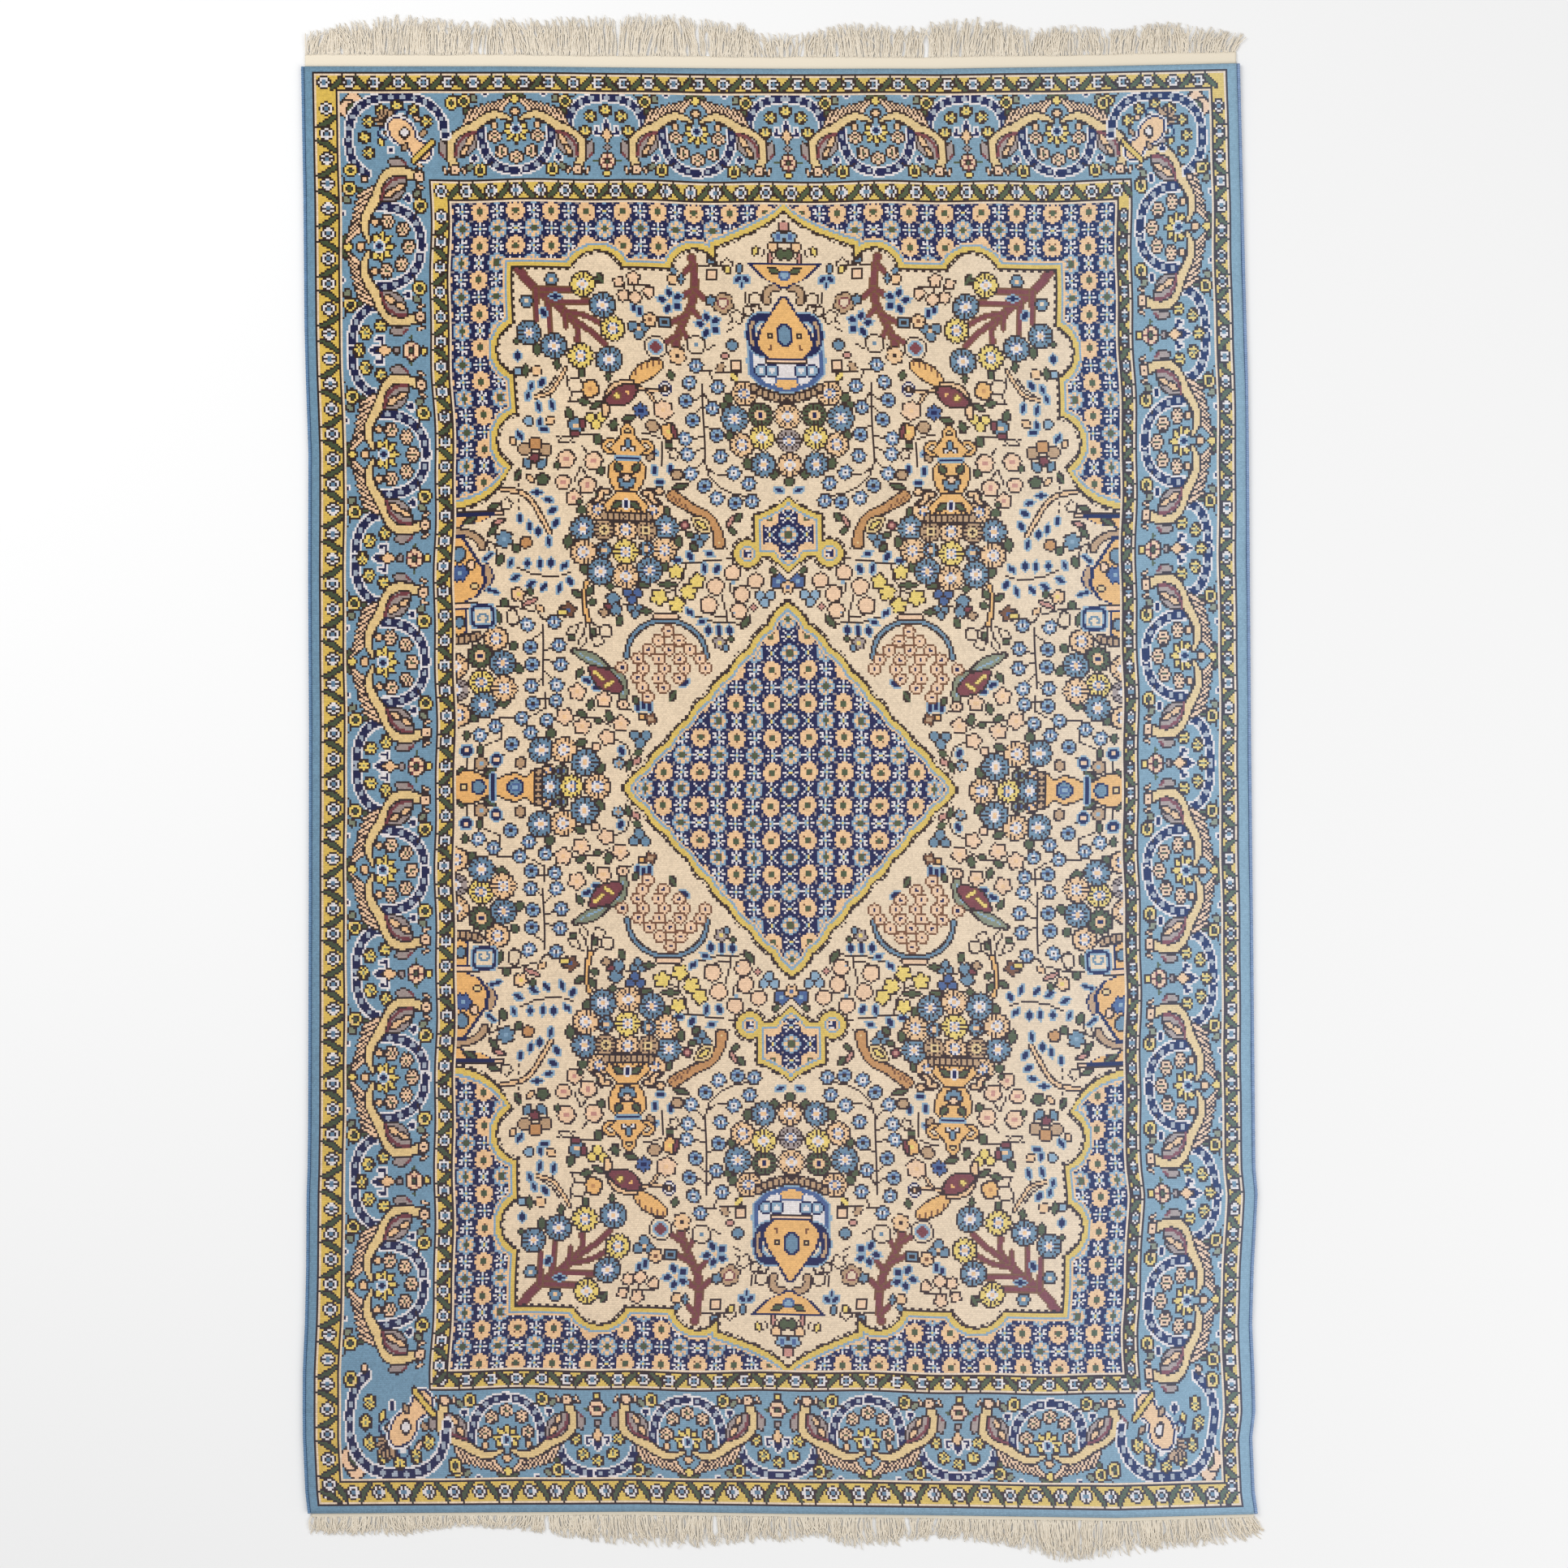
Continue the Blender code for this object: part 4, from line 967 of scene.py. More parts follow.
def draw_rug():
    """The whole cartoon: plain outer band, guards, borders with their corners, and four mirrored quarters."""
    knots = np.full((ROWS, COLUMNS), YARN["sky"], np.uint8)
    col = np.arange(COLUMNS) + 0.5
    row = np.arange(ROWS) + 0.5
    # how wide each side's plain band, guard, main border and inner guard are, in knots
    edges = {
        "top": np.cumsum((3, 11, 44, 12)), "bottom": np.cumsum((4, 14, 45, 11)),
        "left": np.cumsum((6, 14, 45, 11)), "right": np.cumsum((7, 10, 41, 9)),
    }

    def rectangle(band):
        """Where a band ends on its inner side: left, top, right and bottom."""
        left, top, right, bottom = (edges[side][band] for side in ("left", "top", "right", "bottom"))
        return left, top, COLUMNS - right, ROWS - bottom

    def side_view(name):
        """The knots seen from one side, with the depth down their rows."""
        if name in ("top", "bottom"):
            return knots[::1 if name == "top" else -1], col, row
        return knots.T[::1 if name == "left" else -1], row, col

    guard_lines(knots, rectangle(0), rectangle(1))
    left, top, right, bottom = rectangle(1)
    knots[top:bottom, left:right] = YARN["sky"]
    guard_lines(knots, rectangle(2), rectangle(3))
    for name, middle, pitch, apex, periods in (
        ("top", 249.5, 93.0, 1.6, 2), ("bottom", 241.9, 92.0, 2.0, 2),
        ("left", 359.5, 106.7, 4.5, 3), ("right", 358.5, 110.0, 4.5, 3),
    ):
        view, along, depth = side_view(name)
        own = edges[name]
        first, last = ("left", "right") if name in ("top", "bottom") else ("top", "bottom")
        near, far = edges[first], edges[last]
        for band in (0, 2):
            a, b = own[band], own[band + 1]
            n0, n1 = near[band], len(along) - far[band]
            start = 6.0 if name in ("top", "bottom") else 19.0
            guard(Cartoon(view[a:b, n0:n1], along[n0:n1] - n0, depth[:b - a]), b - a, start)
        a, b = own[1], own[2]
        n0, n1 = near[1], len(along) - far[1]
        deep = depth[:b - a] * DEEP / (b - a)
        cut = int(round(middle))
        for sign in (1, -1):
            piece = slice(cut, n1) if sign > 0 else slice(n0, cut)
            local = (along[piece] - middle) * sign * PAIR / pitch
            border_half(Cartoon(view[a:b, piece], local, deep), periods, apex)

    for vertical, v_stretch in (("top", 1.0), ("bottom", 1.3)):
        for across in ("left", "right"):
            view = knots if vertical == "top" else knots[::-1]
            view = view if across == "left" else view[:, ::-1]
            x0, y0 = edges[across][1], edges[vertical][1]
            wide, high = 58, int(47 * v_stretch)
            scale_x = 1.0 if across == "left" else 1.06
            box = Cartoon(view[y0:y0 + high + 6, x0:x0 + wide + 14],
                          (np.arange(min(wide + 14, COLUMNS - x0)) + 0.5) * scale_x,
                          (np.arange(high + 6) + 0.5) / v_stretch)
            corner(box)

    x0, x1 = edges["left"][3], COLUMNS - edges["right"][3]
    y0, y1 = edges["top"][3], ROWS - edges["bottom"][3]
    mx, my = 247, (y0 + y1) // 2 + 1
    for xs, u in ((slice(x0, mx), mx - col[x0:mx]), (slice(mx, x1), col[mx:x1] - mx)):
        for ys, v in ((slice(y0, my), my - row[y0:my]), (slice(my, y1), row[my:y1] - my)):
            quarter_field(Cartoon(knots[ys, xs], u, v))
    return knots


# ---- the shapes ----


def column(table, number, at):
    """One column of a table at these places, along straight lines between its rows."""
    return np.interp(at, table[:, 0], table[:, number])


def laid(x, y):
    """How the rug lies: its lines wander a millimetre or so, as slow waves that fade at its edges."""
    calm = np.clip((1 - np.abs(x / 690.0)) * 6, 0, 1) * np.clip((1 - np.abs(y / 1050.0)) * 9, 0, 1)
    across = 1.3 * np.sin(y / 61.0 + 0.8 * np.sin(x / 143.0)) + 0.9 * np.sin(y / 23.0 + x / 210.0)
    along = 1.2 * np.sin(x / 72.0 + 0.7 * np.sin(y / 171.0)) + 0.8 * np.sin(x / 27.0 - y / 260.0)
    return x + across * calm, y + along * calm


def on_rug(s, t, inset=0.0):
    """A place on the rug, s across and t up it: between the two long edges, then between the ends."""
    y0 = LOW_END + LONG * t
    x = column(LONG_EDGES, 1, y0) * (1 - s) + column(LONG_EDGES, 2, y0) * s
    at = FAR_LEFT + WIDE * s
    y = column(ENDS, 1, at) * (1 - t) + column(ENDS, 2, at) * t
    return np.clip(x, column(LONG_EDGES, 1, y0) + inset, column(LONG_EDGES, 2, y0) - inset), y


def object_of(name, points, faces, uv=None, bake=None, packed=None, smooth=True):
    """A mesh from points in millimetres from the pattern's middle, with its pattern and bake maps."""
    mesh = bpy.data.meshes.new(name)
    points = np.asarray(points, float).reshape(-1, 3) + [MIDDLE[0], MIDDLE[1], 0]
    faces = np.asarray(faces, np.int64)
    corners = faces.shape[1]
    mesh.vertices.add(len(points))
    mesh.vertices.foreach_set("co", (points * MM).astype(np.float32).ravel())
    mesh.loops.add(faces.size)
    mesh.loops.foreach_set("vertex_index", faces.ravel().astype(np.int32))
    mesh.polygons.add(len(faces))
    mesh.polygons.foreach_set("loop_start", np.arange(0, faces.size, corners, dtype=np.int32))
    mesh.polygons.foreach_set("use_smooth", np.full(len(faces), smooth))
    mesh.update(calc_edges=True)
    for label, table in (("Knots", uv), ("OFBake", bake)):
        if table is not None:
            layer = mesh.uv_layers.new(name=label)
            table = np.asarray(table, np.float32)
            table = table[faces] if table.ndim == 2 else table
            layer.data.foreach_set("uv", table.reshape(-1).astype(np.float32))
    if packed is not None:
        mesh.attributes.new("yarns", "FLOAT_VECTOR", "FACE").data.foreach_set(
            "vector", np.asarray(packed, np.float32).ravel())
    mesh.validate()
    obj = bpy.data.objects.new(name, mesh)
    bpy.context.scene.collection.objects.link(obj)
    return obj


def grid_quads(rows, columns, turned=False):
    """The quads of a grid whose points are numbered row by row."""
    a = (np.arange(rows - 1)[:, None] * columns + np.arange(columns - 1)).ravel()
    quads = np.stack([a, a + 1, a + columns + 1, a + columns], axis=1)
    return quads[:, ::-1] if turned else quads


def packed_yarns(knots):
    """For each face, one number for each of its three rows: its four yarns as digits in base 32."""
    blocks = knots[::-1].reshape(ROWS // RISE, RISE, COLUMNS // SPAN, SPAN).astype(float)
    return (blocks * BASE ** np.arange(SPAN)).sum(-1).transpose(0, 2, 1).reshape(-1, RISE)


PILE_LOW, PILE_TOP = 2.6, 8.9  # where the back ends and how high the tips of the pile stand
NEAR_CORD = 5.7


def carpet_grid():
    """The pile's grid: its places across and along, and its shares of the width and the length."""
    s = np.linspace(0, 1, COLUMNS // SPAN + 1)
    t = np.linspace(0, 1, ROWS // RISE + 1)
    s, t = np.meshgrid(s, t)
    x, y = on_rug(s, t, NEAR_CORD)
    y0 = LOW_END + LONG * t
    low, high = column(LONG_EDGES, 1, y0), column(LONG_EDGES, 2, y0)
    u = (x - low) / (high - low)
    return x, y, u, t


def rim_of(rows, columns):
    """The numbers of a grid's border points, once round."""
    across, up = np.arange(columns), np.arange(rows)
    return np.concatenate([
        across[:-1], up[:-1] * columns + columns - 1, (rows - 1) * columns + across[:0:-1],
        up[:0:-1] * columns,
    ])


def carpet(name, packed, high, rim_high, wall_to, turned):
    """One side of the carpet: a grid at z = high, rounded over to rim_high at its rim, and a short wall.

    The surface rises and falls a little: high + sin(x / 97) sin(y / 131) / 4.
    """
    x, y, u, t = carpet_grid()
    rows, columns = x.shape
    z = np.full(x.shape, high) + (0.0 if turned else 0.22 * np.sin(x / 97.0) * np.sin(y / 131.0))
    z[0], z[-1], z[:, 0], z[:, -1] = rim_high, rim_high, rim_high, rim_high
    px, py = laid(x, y)
    rim = rim_of(rows, columns)
    top = np.stack([px, py, z], -1).reshape(-1, 3)
    wall = top[rim].copy()
    wall[:, 2] = wall_to
    quads = grid_quads(rows, columns, turned)
    ring = np.arange(len(rim))
    after = np.roll(ring, -1)
    sides = np.stack([rim[ring], len(top) + ring, len(top) + after, rim[after]], 1)
    if turned:
        sides = sides[:, ::-1]
    uv = np.stack([u, t], -1).reshape(-1, 2)
    uv = np.concatenate([uv, uv[rim]])
    inner = uv * [0.98, 0.98] + 0.01
    push = np.sign(uv - 0.5) * (np.abs(uv - 0.5) > 0.499) * 0.006
    bake = inner.copy()
    bake[len(top):] += push[len(top):]
    # each wall face takes the yarns of the carpet face it hangs from
    face_of = np.concatenate([
        np.arange(columns - 1),
        np.arange(rows - 1) * (columns - 1) + columns - 2,
        (rows - 2) * (columns - 1) + np.arange(columns - 1)[::-1],
        np.arange(rows - 1)[::-1] * (columns - 1),
    ])
    return object_of(name, np.concatenate([top, wall]), np.concatenate([quads, sides]), uv, bake,
                     np.concatenate([packed, packed[face_of]]))


# ---- the shader groups ----


def group_of(name, inputs, outputs):
    """A node group with named sockets, given as (kind, name, default) each."""
    group = bpy.data.node_groups.new(name, "ShaderNodeTree")
    for kind, label, default in inputs:
        socket = group.interface.new_socket(label, in_out="INPUT", socket_type="NodeSocket" + kind)
        if default is not None:
            socket.default_value = default
    for kind, label, default in outputs:
        group.interface.new_socket(label, in_out="OUTPUT", socket_type="NodeSocket" + kind)
    return group


class Nodes:
    """Short ways to add and join the nodes of one tree."""

    def __init__(self, tree):
        self.tree = tree

    def new(self, kind, **settings):
        node = self.tree.nodes.new(kind)
        node.location = (180 * (len(self.tree.nodes) % 12), -220 * (len(self.tree.nodes) // 12))
        for name, value in settings.items():
            setattr(node, name, value)
        return node

    def join(self, source, target):
        if hasattr(source, "is_output"):
            self.tree.links.new(source, target)
        else:
            target.default_value = source

    def math(self, operation, *values, clamp=False):
        node = self.new("ShaderNodeMath", operation=operation, use_clamp=clamp)
        for value, socket in zip(values, node.inputs):
            self.join(value, socket)
        return node.outputs[0]

    def vector(self, operation, *values):
        node = self.new("ShaderNodeVectorMath", operation=operation)
        for value, socket in zip(values, node.inputs):
            self.join(value, socket)
        return node.outputs[0]

    def parts(self, vector):
        node = self.new("ShaderNodeSeparateXYZ")
        self.join(vector, node.inputs[0])
        return node.outputs

    def whole(self, x, y, z=0.0):
        node = self.new("ShaderNodeCombineXYZ")
        for value, socket in zip((x, y, z), node.inputs):
            self.join(value, socket)
        return node.outputs[0]

    def noise(self, place, scale, detail=2.0, roughness=0.5):
        node = self.new("ShaderNodeTexNoise")
        self.join(place, node.inputs["Vector"])
        self.join(scale, node.inputs["Scale"])
        node.inputs["Detail"].default_value = detail
        node.inputs["Roughness"].default_value = roughness
        return node.outputs["Fac"]

    def hash(self, place):
        node = self.new("ShaderNodeTexWhiteNoise", noise_dimensions="3D")
        self.join(place, node.inputs["Vector"])
        return node.outputs["Value"]

    def span(self, value, a, b, c, d, clamp=True):
        node = self.new("ShaderNodeMapRange", clamp=clamp)
        for item, socket in zip((value, a, b, c, d), node.inputs):
            self.join(item, socket)
        return node.outputs[0]

    def mix(self, share, a, b, blend="MIX"):
        node = self.new("ShaderNodeMix", data_type="RGBA", blend_type=blend)
        for value, socket in zip((share, a, b), (node.inputs[0], node.inputs[6], node.inputs[7])):
            self.join(value, socket)
        return node.outputs[2]

    def shade(self, colour, value):
        """A colour made lighter or darker by a factor."""
        node = self.new("ShaderNodeVectorMath", operation="SCALE")
        self.join(colour, node.inputs[0])
        self.join(value, node.inputs["Scale"])
        return node.outputs[0]


def linear(red, green, blue):
    """A screen colour from 0 to 255 as the renderer's linear light."""
    c = np.array([red, green, blue]) / 255.0
    return tuple(np.where(c <= 0.04045, c / 12.92, ((c + 0.055) / 1.055) ** 2.4)) + (1.0,)


def make_yarn_group():
    """Which yarn is at a knot: the face's number for its row, divided by 32 for each column, modulo 32."""
    group = group_of(
        "yarn_at_knot", [("Vector", "Knot place", None), ("Vector", "Packed yarns", None)],
        [("Float", "Yarn", None), ("Vector", "Knot cell", None), ("Vector", "Within knot", None)],
    )
    n = Nodes(group)
    given, made = n.new("NodeGroupInput"), n.new("NodeGroupOutput")
    cell = n.vector("FLOOR", given.outputs["Knot place"])
    inside = n.vector("FRACTION", given.outputs["Knot place"])
    x, y, _ = n.parts(cell)
    rows = n.parts(given.outputs["Packed yarns"])
    row = n.math("FLOORED_MODULO", y, float(RISE))
    first = n.math("LESS_THAN", row, 0.5)
    last = n.math("GREATER_THAN", row, 1.5)
    middle = n.math("SUBTRACT", 1.0, n.math("ADD", first, last))
    value = n.math("ADD", n.math("MULTIPLY", rows[0], first),
                   n.math("ADD", n.math("MULTIPLY", rows[1], middle), n.math("MULTIPLY", rows[2], last)))
    place = n.math("FLOORED_MODULO", x, float(SPAN))
    shifted = n.math("DIVIDE", n.math("ADD", value, 0.5), n.math("POWER", BASE, place))
    digit = n.math("FLOORED_MODULO", n.math("FLOOR", shifted), BASE)
    n.join(digit, made.inputs["Yarn"])
    n.join(cell, made.inputs["Knot cell"])
    n.join(inside, made.inputs["Within knot"])
    return group


def make_dye_group():
    """The dyed colour of a yarn: the palette, uneven knot by knot, in bands along the rows, paler to the
    right from fading and painted light, with painted sheen at the low end and the right side.
    """
    group = group_of("dyed_wool", [
        ("Float", "Yarn", 0.0), ("Vector", "Knot cell", None), ("Float", "Fading", 0.0),
        ("Float", "Haze", 0.0), ("Float", "Unevenness", 1.0),
    ], [("Color", "Colour", None), ("Float", "Darkness", None)])
    n = Nodes(group)
    given, made = n.new("NodeGroupInput"), n.new("NodeGroupOutput")
    ramp = n.new("ShaderNodeValToRGB")
    ramp.color_ramp.interpolation = "CONSTANT"
    stops = ramp.color_ramp.elements
    while len(stops) > 1:
        stops.remove(stops[-1])
    for number, (_, red, green, blue) in enumerate(YARNS):
        stop = stops[0] if number == 0 else stops.new(number / 32)
        stop.position = number / 32
        stop.color = linear(red, green, blue)
    n.join(n.math("DIVIDE", n.math("ADD", given.outputs["Yarn"], 0.5), 32.0), ramp.inputs[0])
    cell = given.outputs["Knot cell"]
    each = n.hash(cell)
    x, y, _ = n.parts(cell)
    bands = n.noise(n.whole(n.math("MULTIPLY", x, 0.012), n.math("MULTIPLY", y, 0.16)), 1.0, 2.0)
    patchy = n.noise(n.whole(n.math("MULTIPLY", x, 0.05), n.math("MULTIPLY", y, 0.05), 3.0), 1.0, 4.0, 0.6)
    rise = n.math("ADD", n.math("MULTIPLY", n.math("SUBTRACT", each, 0.5), 0.22),
                  n.math("ADD", n.math("MULTIPLY", n.math("SUBTRACT", bands, 0.5), 0.16),
                         n.math("MULTIPLY", n.math("SUBTRACT", patchy, 0.5), 0.22)))
    factor = n.math("ADD", 1.0, n.math("MULTIPLY", rise, given.outputs["Unevenness"]))
    # Paler to the right by a gamma: partly real fading, partly painted light from that side.
    gamma = n.new("ShaderNodeGamma")
    n.join(n.shade(ramp.outputs[0], factor), gamma.inputs[0])
    n.join(n.math("SUBTRACT", 1.0, given.outputs["Fading"]), gamma.inputs[1])
    # Painted pale sheen, added towards the low end.
    painted_low_sheen = n.shade((0.024, 0.024, 0.036), given.outputs["Haze"])
    # Painted cool sheen along the right side, from the same ramp.
    sheen = n.shade((0.012, 0.045, 0.085), n.span(given.outputs["Fading"], 0.2, 0.3, 0.0, 1.0))
    n.join(n.vector("ADD", n.vector("ADD", gamma.outputs[0], painted_low_sheen), sheen), made.inputs["Colour"])
    bright = n.new("ShaderNodeRGBToBW")
    n.join(ramp.outputs[0], bright.inputs[0])
    n.join(n.span(bright.outputs[0], 0.02, 0.3, 1.0, 0.0), made.inputs["Darkness"])
    return group


def make_knot_group():
    """How high the wool stands in a knot: a dome across and along it, with loose fibre over that."""
    group = group_of("knot_relief", [
        ("Vector", "Within knot", None), ("Vector", "Knot cell", None), ("Float", "Darkness", 0.0),
        ("Float", "Fuzz", 1.0),
    ], [("Float", "Height", None), ("Float", "Shadow", None)])
    n = Nodes(group)
    given, made = n.new("NodeGroupInput"), n.new("NodeGroupOutput")
    x, y, _ = n.parts(given.outputs["Within knot"])
    half = n.math("ABSOLUTE", n.math("SUBTRACT", y, 0.5))
    side = n.math("ABSOLUTE", n.math("SUBTRACT", x, 0.5))
    dome = n.math("SUBTRACT", 1.0, n.math("ADD", n.math("MULTIPLY", n.math("POWER", half, 2.0), 2.6),
                                         n.math("MULTIPLY", n.math("POWER", side, 2.0), 0.8)))
    place = n.vector("ADD", given.outputs["Within knot"], given.outputs["Knot cell"])
    fibre = n.noise(n.vector("MULTIPLY", place, (0.9, 3.1, 1.0)), 1.4, 3.0, 0.7)
    high = n.math("ADD", dome, n.math("MULTIPLY", n.math("SUBTRACT", fibre, 0.5),
                                      n.math("MULTIPLY", given.outputs["Fuzz"], 1.1)))
    sunk = n.math("MULTIPLY", given.outputs["Darkness"], 0.5)
    n.join(n.math("SUBTRACT", high, sunk), made.inputs["Height"])
    # Shadow: painted shade in the grooves between rows of knots, weaker where loose fibre stands up.
    gap = n.span(half, 0.30, 0.5, 0.0, 1.0)
    n.join(n.math("MULTIPLY", gap, n.span(fibre, 0.35, 0.6, 1.0, 0.4)), made.inputs["Shadow"])
    return group


def material_of(name, colour=None):
    """A material with its Principled shader, and a short way to add its nodes."""
    material = bpy.data.materials.new(name)
    material.use_nodes = True
    n = Nodes(material.node_tree)
    shader = material.node_tree.nodes["Principled BSDF"]
    shader.inputs["Roughness"].default_value = 0.95
    shader.inputs["Specular IOR Level"].default_value = 0.15
    if colour is not None:
        shader.inputs["Base Color"].default_value = colour
    return material, n, shader


yarn_group, dye_group, knot_group = make_yarn_group(), make_dye_group(), make_knot_group()


def use(n, group, **values):
    """A group in a material, with its inputs joined by name."""
    node = n.new("ShaderNodeGroup", node_tree=group)
    for name, value in values.items():
        n.join(value, node.inputs[name.replace("_", " ")])
    return node


def drift(n):
    """How the colours drift by place: paler to the right, partly real fading and partly painted light, and a
    painted pale sheen at the low end.
    """
    place = n.new("ShaderNodeTexCoord").outputs["Object"]
    x, y, _ = n.parts(place)
    # Paler to the right: partly real fading, partly painted light from that side.
    fade_and_light = n.span(x, -0.72, 0.70, 0.0, 0.30)
    # Painted pale sheen: none above 0.7 m, full at the low end.
    painted_low_sheen = n.span(y, 0.7, -1.06, 0.0, 1.0)
    return fade_and_light, painted_low_sheen, place


def knotted_material(name, uneven, fuzz, depth, shadow, pale=0.0):
    """The carpet's wool: yarns read from its faces, dyed, and raised into knots."""
    material, n, shader = material_of(name)
    uv = n.new("ShaderNodeUVMap", uv_map="Knots").outputs[0]
    packed = n.new("ShaderNodeAttribute", attribute_type="GEOMETRY", attribute_name="yarns").outputs["Vector"]
    place = n.vector("MULTIPLY", uv, (float(COLUMNS), float(ROWS), 1.0))
    found = use(n, yarn_group, Knot_place=place, Packed_yarns=packed)
    fade_and_light, painted_low_sheen, _ = drift(n)
    dyed = use(n, dye_group, Yarn=found.outputs["Yarn"], Knot_cell=found.outputs["Knot cell"], Fading=fade_and_light,
               Haze=painted_low_sheen, Unevenness=uneven)
    relief = use(
        n, knot_group, Within_knot=found.outputs["Within knot"], Knot_cell=found.outputs["Knot cell"],
        Darkness=dyed.outputs["Darkness"], Fuzz=fuzz,
    )
    # The knots' painted shade between rows darkens the dyed colour.
    lit = n.math("SUBTRACT", 1.0, n.math("MULTIPLY", relief.outputs["Shadow"], shadow))
    shaded = n.shade(dyed.outputs["Colour"], lit)
    if pale:
        shaded = n.mix(pale, shaded, linear(226, 210, 186))
    n.join(shaded, shader.inputs["Base Color"])
    bump = n.new("ShaderNodeBump")
    bump.inputs["Distance"].default_value = depth
    bump.inputs["Strength"].default_value = 0.6
    n.join(relief.outputs["Height"], bump.inputs["Height"])
    n.join(bump.outputs[0], shader.inputs["Normal"])
    shader.inputs["Sheen Weight"].default_value = 0.08
    shader.inputs["Sheen Roughness"].default_value = 0.6
    return material


knots = draw_rug()
packed = packed_yarns(knots)
pile = carpet("pile_face", packed, PILE_TOP, 6.9, PILE_LOW, False)
back = carpet("knotted_back", packed, 0.0, 0.5, PILE_LOW, True)
pile.data.materials.append(knotted_material("knotted_wool", 1.0, 1.0, 0.0012, 0.12))
back.data.materials.append(knotted_material("knotted_back", 0.5, 0.3, 0.0008, 0.3, 0.22))


# ---- cords, bands and fringes ----


def swept(paths, radii, sides=6, squash=1.0, twist=0.0):
    """Tubes along many paths at once: rings of points round each path, turned along it, with closed ends.

    paths is (tubes, steps, 3) in millimetres. A ring's point k is path + r cos(k) across + r sin(k) up.
    """
    tubes, steps, _ = paths.shape
    along = np.gradient(paths, axis=1)
    along /= np.maximum(np.linalg.norm(along, axis=2, keepdims=True), 1e-9)
    across = np.cross(along, [0.0, 0.0, 1.0])
    across /= np.maximum(np.linalg.norm(across, axis=2, keepdims=True), 1e-9)
    up = np.cross(across, along)
    turn = np.arange(sides) * 2 * np.pi / sides + twist * np.arange(steps)[:, None]
    ring = (across[:, :, None] * np.cos(turn)[None, :, :, None]
            + up[:, :, None] * np.sin(turn)[None, :, :, None] * squash)
    points = paths[:, :, None] + ring * np.broadcast_to(radii, (tubes, steps))[:, :, None, None]
    a = np.arange(steps - 1)[:, None] * sides + np.arange(sides)
    b = np.arange(steps - 1)[:, None] * sides + (np.arange(sides) + 1) % sides
    quads = np.stack([a, b, b + sides, a + sides], -1).reshape(-1, 4)
    k = np.arange(1, sides - 2, 2) if sides > 4 else np.array([1])
    cap = np.stack([np.zeros_like(k), k + 2, k + 1, k], -1)
    last = (steps - 1) * sides + np.stack([np.zeros_like(k), k, k + 1, k + 2], -1)
    quads = np.concatenate([quads, cap, last])
    faces = (np.arange(tubes)[:, None, None] * steps * sides + quads[None]).reshape(-1, 4)
    return points.reshape(-1, 3), faces


def edge_line(side, steps):
    """A long edge from the low end to the high one."""
    t = np.linspace(0, 1, steps)
    return on_rug(np.full(steps, float(side)), t)


def cord_piece(name, side):
    """A side cord: an oval along the edge, 5.6 wide and 6.4 high, waisted at every turn of its yarn."""
    steps, sides = 1400, 10
    x, y = edge_line(side, steps)
    inward = 1 if side == 0 else -1
    wrap = 1 + 0.05 * np.cos(np.arange(steps) * 2 * np.pi / 4)
    path = np.stack([x + inward * 2.75, y, np.full(steps, 3.2)], -1)[None]
    points, faces = swept(path, np.full((1, steps), 2.75) * wrap, sides, 3.2 / 2.75)
    return object_of(name, points, faces, strip_map(len(points), steps, sides))


def strip_map(count, steps, sides):
    """A map of a swept tube: along it, and round it."""
    v, u = np.divmod(np.arange(count), sides)
    return np.stack([u / sides, v / steps], -1)


def band_piece(name, end, depth):
    """A woven band past the end of the pile: a ribbed strip, rounded over at its outer edge and closed below.

    Its height follows 2.3 (1 - (2 v - 1)^8) over its depth v, with a rib at each of its weft lines.
    """
    columns, rows = 480, 14
    s = np.linspace(0.004, 0.996, columns)
    v = np.linspace(0, 1, rows)
    x, y = on_rug(s, np.full(columns, 1.0 if end > 0 else 0.0))
    slack = 0.5 * np.sin(x / 37.0) + 0.3 * np.sin(x / 11.0)
    top = np.zeros((rows, columns, 3))
    top[..., 0] = x
    top[..., 1] = y + end * (0.3 + v[:, None] * (depth - 0.3 + slack * (v[:, None] > 0.9)))
    top[..., 2] = 2.3 * (1 - np.abs(2 * v[:, None] - 1) ** 8 * 0.7) + 0.12 * np.sin(v[:, None] * depth * 1.4)
    low = top.copy()
    low[..., 2] = 0.0
    quads = grid_quads(rows, columns, end < 0)
    count = rows * columns
    under = grid_quads(rows, columns, end > 0) + count
    rim = rim_of(rows, columns)
    ring, after = rim, np.roll(rim, -1)
    wall = np.stack([ring, ring + count, after + count, after], 1)
    if end < 0:
        wall = wall[:, ::-1]
    points = np.concatenate([top.reshape(-1, 3), low.reshape(-1, 3)])
    return object_of(name, points, np.concatenate([quads, under, wall]), points[:, :2] * MM)


STRANDS = 1500  # warp ends in each fringe


